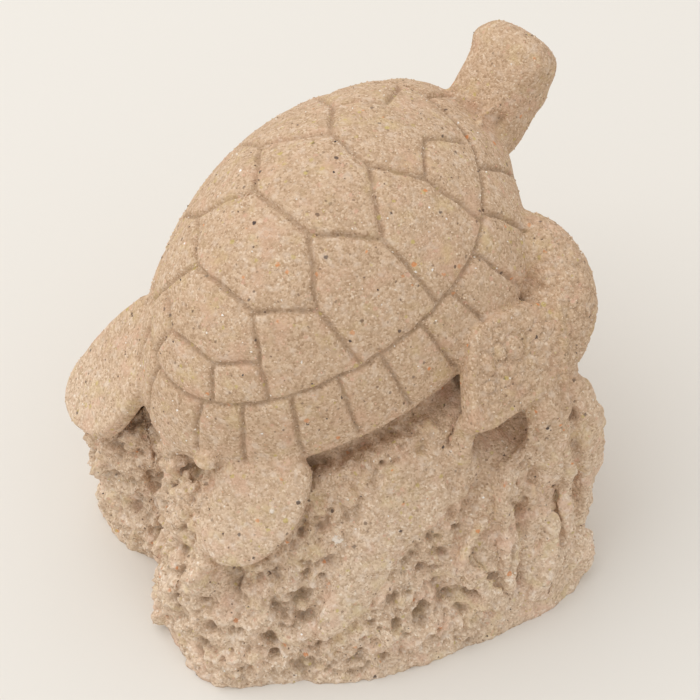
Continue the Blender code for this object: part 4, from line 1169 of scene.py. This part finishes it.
def sand_material():
    """Raw bonded sand, paler low down as painted light, darker in pits and under the rim as painted shade,
    with odd grains and chips of shell laid over.
    """
    material, tree, shader = new_material("bonded sand", 0.9, 0.25)
    sand = tree.nodes.new("ShaderNodeGroup")
    sand.node_tree = sand_group()
    sand.inputs["Grain Size"].default_value = GRAIN_SIZE
    colour = sand.outputs["Colour"]
    # Painted light: paler, cooler sand low down on the block, standing in for fill light
    height = add_node(tree, "ShaderNodeSeparateXYZ", {0: object_place(tree)}).outputs[2]
    # Painted shade in seams, pits and under the rim, read from the sunk mark
    sunk = add_node(tree, "ShaderNodeAttribute", {}, attribute_name="sunk").outputs["Fac"]
    for value, (start, whole), share, how, tint in (
            (height, LOW_HEIGHTS, 1.0, "MULTIPLY", LOW_PAINTED_LIGHT),
            (sunk, (0.0, 1.0), PAINTED_SHADE_SHARE, "MIX", PAINTED_SHADE_SAND)):
        faded = add_node(tree, "ShaderNodeMapRange", {0: value, 1: start, 2: whole, 4: share}).outputs[0]
        colour = mixed(tree, faded, colour, tint, how)
    odd = odd_grain_group()
    for name, *values in ODD_GRAINS:
        grains = add_node(tree, "ShaderNodeGroup", {}, node_tree=odd, label=name)
        for slot, value in zip(("Grain Colour", "Spacing", "Radius", "Share", "Strength", "Seed"), values):
            grains.inputs[slot].default_value = value
        tree.links.new(colour, grains.inputs["Colour"])
        colour = grains.outputs["Colour"]
    chip = add_node(tree, "ShaderNodeAttribute", {}, attribute_name="chip").outputs["Fac"]
    tree.links.new(mixed(tree, chip, colour, CHIP_COLOUR), shader.inputs["Base Color"])
    strength, distance = GRAIN_BUMP
    bump = {"Strength": strength, "Distance": distance, "Height": sand.outputs["Height"]}
    tree.links.new(add_node(tree, "ShaderNodeBump", bump, invert=True).outputs[0], shader.inputs["Normal"])
    return material


skin.name = "sand_casting"
skin.materials.append(sand_material())
skin.shade_smooth()
casting = in_scene("sand_casting", skin)
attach(casting, "root")
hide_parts("sand_turtle_sculpture")


# Coarse grains. Here and there a bigger grain of quartz, shell or dark stone is bonded in among the fine
# ones and stands out of the skin by about half, unlike on the flat underside, where the mould is struck off.
GRAINS_PER_AREA = 0.5e6
SMALLEST_GRAIN = 0.00008
LARGEST_GRAIN = 0.00020
GRAIN_SEED = 11
GRAIN_MOTTLE = (4000.0, 0.3)
# Kinds of coarse grain: share of all, colour
GRAIN_KINDS = (
    (0.40, (0.64, 0.47, 0.33)), (0.27, (0.74, 0.58, 0.43)), (0.15, (0.51, 0.36, 0.24)),
    (0.03, (0.86, 0.79, 0.70)), (0.03, (0.24, 0.16, 0.11)), (0.06, (0.68, 0.44, 0.31)),
    (0.055, (0.62, 0.50, 0.27)), (0.005, (0.07, 0.055, 0.05)),
)


def grain_tree():
    """Geometry node tree: little chips scattered over a surface, each of its own size and turn."""
    tree, given, result = new_group("scattered grains", "GeometryNodeTree", {
        "Geometry": "Geometry", "Density": "Float", "Smallest": "Float", "Largest": "Float", "Seed": "Int",
        "Material": "Material"}, {"Geometry": "Geometry"})
    position = tree.nodes.new("GeometryNodeInputPosition").outputs[0]
    height = add_node(tree, "ShaderNodeSeparateXYZ", {0: position}).outputs["Z"]
    above = add_node(tree, "FunctionNodeCompare", {"A": height, "B": given["Largest"]},
                     data_type="FLOAT", operation="GREATER_THAN").outputs[0]
    scatter = add_node(tree, "GeometryNodeDistributePointsOnFaces", {
        "Mesh": given["Geometry"], "Selection": above, "Density": given["Density"], "Seed": given["Seed"]})

    def lots(kind, low, high):
        """One random number or direction for each grain."""
        lot = add_node(tree, "FunctionNodeRandomValue", {"Seed": given["Seed"]}, data_type=kind)
        for slot, value in zip([s for s in lot.inputs if s.enabled], (low, high)):
            slot.default_value = value
        return [s for s in lot.outputs if s.enabled][0]

    none, turn = (0.0, 0.0, 0.0), (math.tau, math.tau, math.tau)
    marked = add_node(tree, "GeometryNodeStoreNamedAttribute", {
        "Geometry": scatter.outputs["Points"], "Name": "kind", "Value": lots("FLOAT", 0.0, 1.0)},
        data_type="FLOAT", domain="POINT").outputs["Geometry"]
    chip = add_node(tree, "GeometryNodeMeshIcoSphere", {"Radius": 1.0, "Subdivisions": 1}).outputs["Mesh"]
    size = add_node(tree, "ShaderNodeMix", {
        1: lots("FLOAT_VECTOR", none, (1.0, 1.0, 1.0)), 4: given["Smallest"], 5: given["Largest"]},
        data_type="VECTOR", factor_mode="NON_UNIFORM").outputs[1]
    placed = add_node(tree, "GeometryNodeInstanceOnPoints", {
        "Points": marked, "Instance": chip, "Rotation": lots("FLOAT_VECTOR", none, turn), "Scale": size})
    real = add_node(tree, "GeometryNodeRealizeInstances", {0: placed.outputs[0]}).outputs[0]
    painted = add_node(tree, "GeometryNodeSetMaterial", {"Geometry": real, "Material": given["Material"]})
    tree.links.new(painted.outputs[0], result[0])
    return tree


def grain_material():
    """Single grains: a colour of its own for each kind, broken up by a little fine mottle."""
    material, tree, shader = new_material("coarse grains", 0.35, 0.5)
    kind = add_node(tree, "ShaderNodeAttribute", {}, attribute_name="kind").outputs["Fac"]
    steps, start = [], 0.0
    for share, colour in GRAIN_KINDS:
        steps.append((start, colour))
        start += share
    scale, share = GRAIN_MOTTLE
    mottle = add_node(tree, "ShaderNodeTexNoise", {"Vector": object_place(tree), "Scale": scale}).outputs[0]
    colour = mixed(tree, share, colour_steps(tree, kind, steps, "CONSTANT"), mottle, "OVERLAY")
    tree.links.new(colour, shader.inputs["Base Color"])
    return material


scattered = in_scene("coarse_grains", skin)
grow = scattered.modifiers.new("scattered grains", "NODES")
grow.node_group = grain_tree()
for name, value in (
        ("Density", GRAINS_PER_AREA), ("Smallest", SMALLEST_GRAIN), ("Largest", LARGEST_GRAIN),
        ("Seed", GRAIN_SEED), ("Material", grain_material())):
    grow[grow.node_group.interface.items_tree[name].identifier] = value
grains = as_modified(scattered)
scattered.modifiers.clear()
scattered.data = grains
grains.name = "coarse_grains"
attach(scattered, "root")


# The table: a plain pale sheet, wide enough to run out of view on every side.
TABLE_HALF_WIDTH = 3.0
TABLE_COLOUR = (0.775, 0.75, 0.71, 1.0)

sheet = bpy.data.meshes.new("table")
corners = [(x * TABLE_HALF_WIDTH, y * TABLE_HALF_WIDTH, 0) for x, y in ((-1, -1), (1, -1), (1, 1), (-1, 1))]
sheet.from_pydata(corners, [], [(0, 1, 2, 3)])
table_material, _, table_shader = new_material("pale table", 0.9, 0.2)
table_shader.inputs["Base Color"].default_value = TABLE_COLOUR
sheet.materials.append(table_material)
table = in_scene("table", sheet)


# Light: a wide soft box above and behind the tail on the turtle's left, and pale walls all round.
SOFT_BOX_PLACE = Vector((0.46, 0.30, 0.95))
SOFT_BOX_WIDTH = 1.3
SOFT_BOX_WATTS = 5.6
WALL_COLOUR = (1.0, 0.985, 0.96, 1.0)
WALL_STRENGTH = 0.83

box = bpy.data.lights.new("soft box", "AREA")
box.shape = "DISK"
box.size = SOFT_BOX_WIDTH
box.energy = SOFT_BOX_WATTS
box.color = WALL_COLOUR[:3]
box_stand = in_scene("soft box", box)
box_stand.location = SOFT_BOX_PLACE
box_stand.rotation_euler = (-SOFT_BOX_PLACE).to_track_quat("-Z", "Y").to_euler()
walls = bpy.data.worlds.new("pale walls")
walls.use_nodes = True
glow = walls.node_tree.nodes["Background"]
glow.inputs["Color"].default_value = WALL_COLOUR
glow.inputs["Strength"].default_value = WALL_STRENGTH
bpy.context.scene.world = walls
bpy.context.scene.view_settings.view_transform = "Standard"


# Camera: a long lens close by, over the turtle's right hind side, looking down at half a right angle.
CAMERA_AIM = Vector((-0.0021, 0.0037, 0.0354))
CAMERA_DISTANCE = 0.330
CAMERA_TURN = math.radians(226.756)
CAMERA_RISE = math.radians(49.083)
CAMERA_LENS = 120.5

lens = bpy.data.cameras.new("camera")
lens.sensor_width = 36.0
lens.lens = CAMERA_LENS
lens.clip_start = 0.01
camera = in_scene("camera", lens)
away = Vector((
    math.sin(CAMERA_TURN) * math.cos(CAMERA_RISE),
    -math.cos(CAMERA_TURN) * math.cos(CAMERA_RISE),
    math.sin(CAMERA_RISE),
))
camera.location = CAMERA_AIM + away * CAMERA_DISTANCE
camera.rotation_euler = (-away).to_track_quat("-Z", "Y").to_euler()
bpy.context.scene.camera = camera
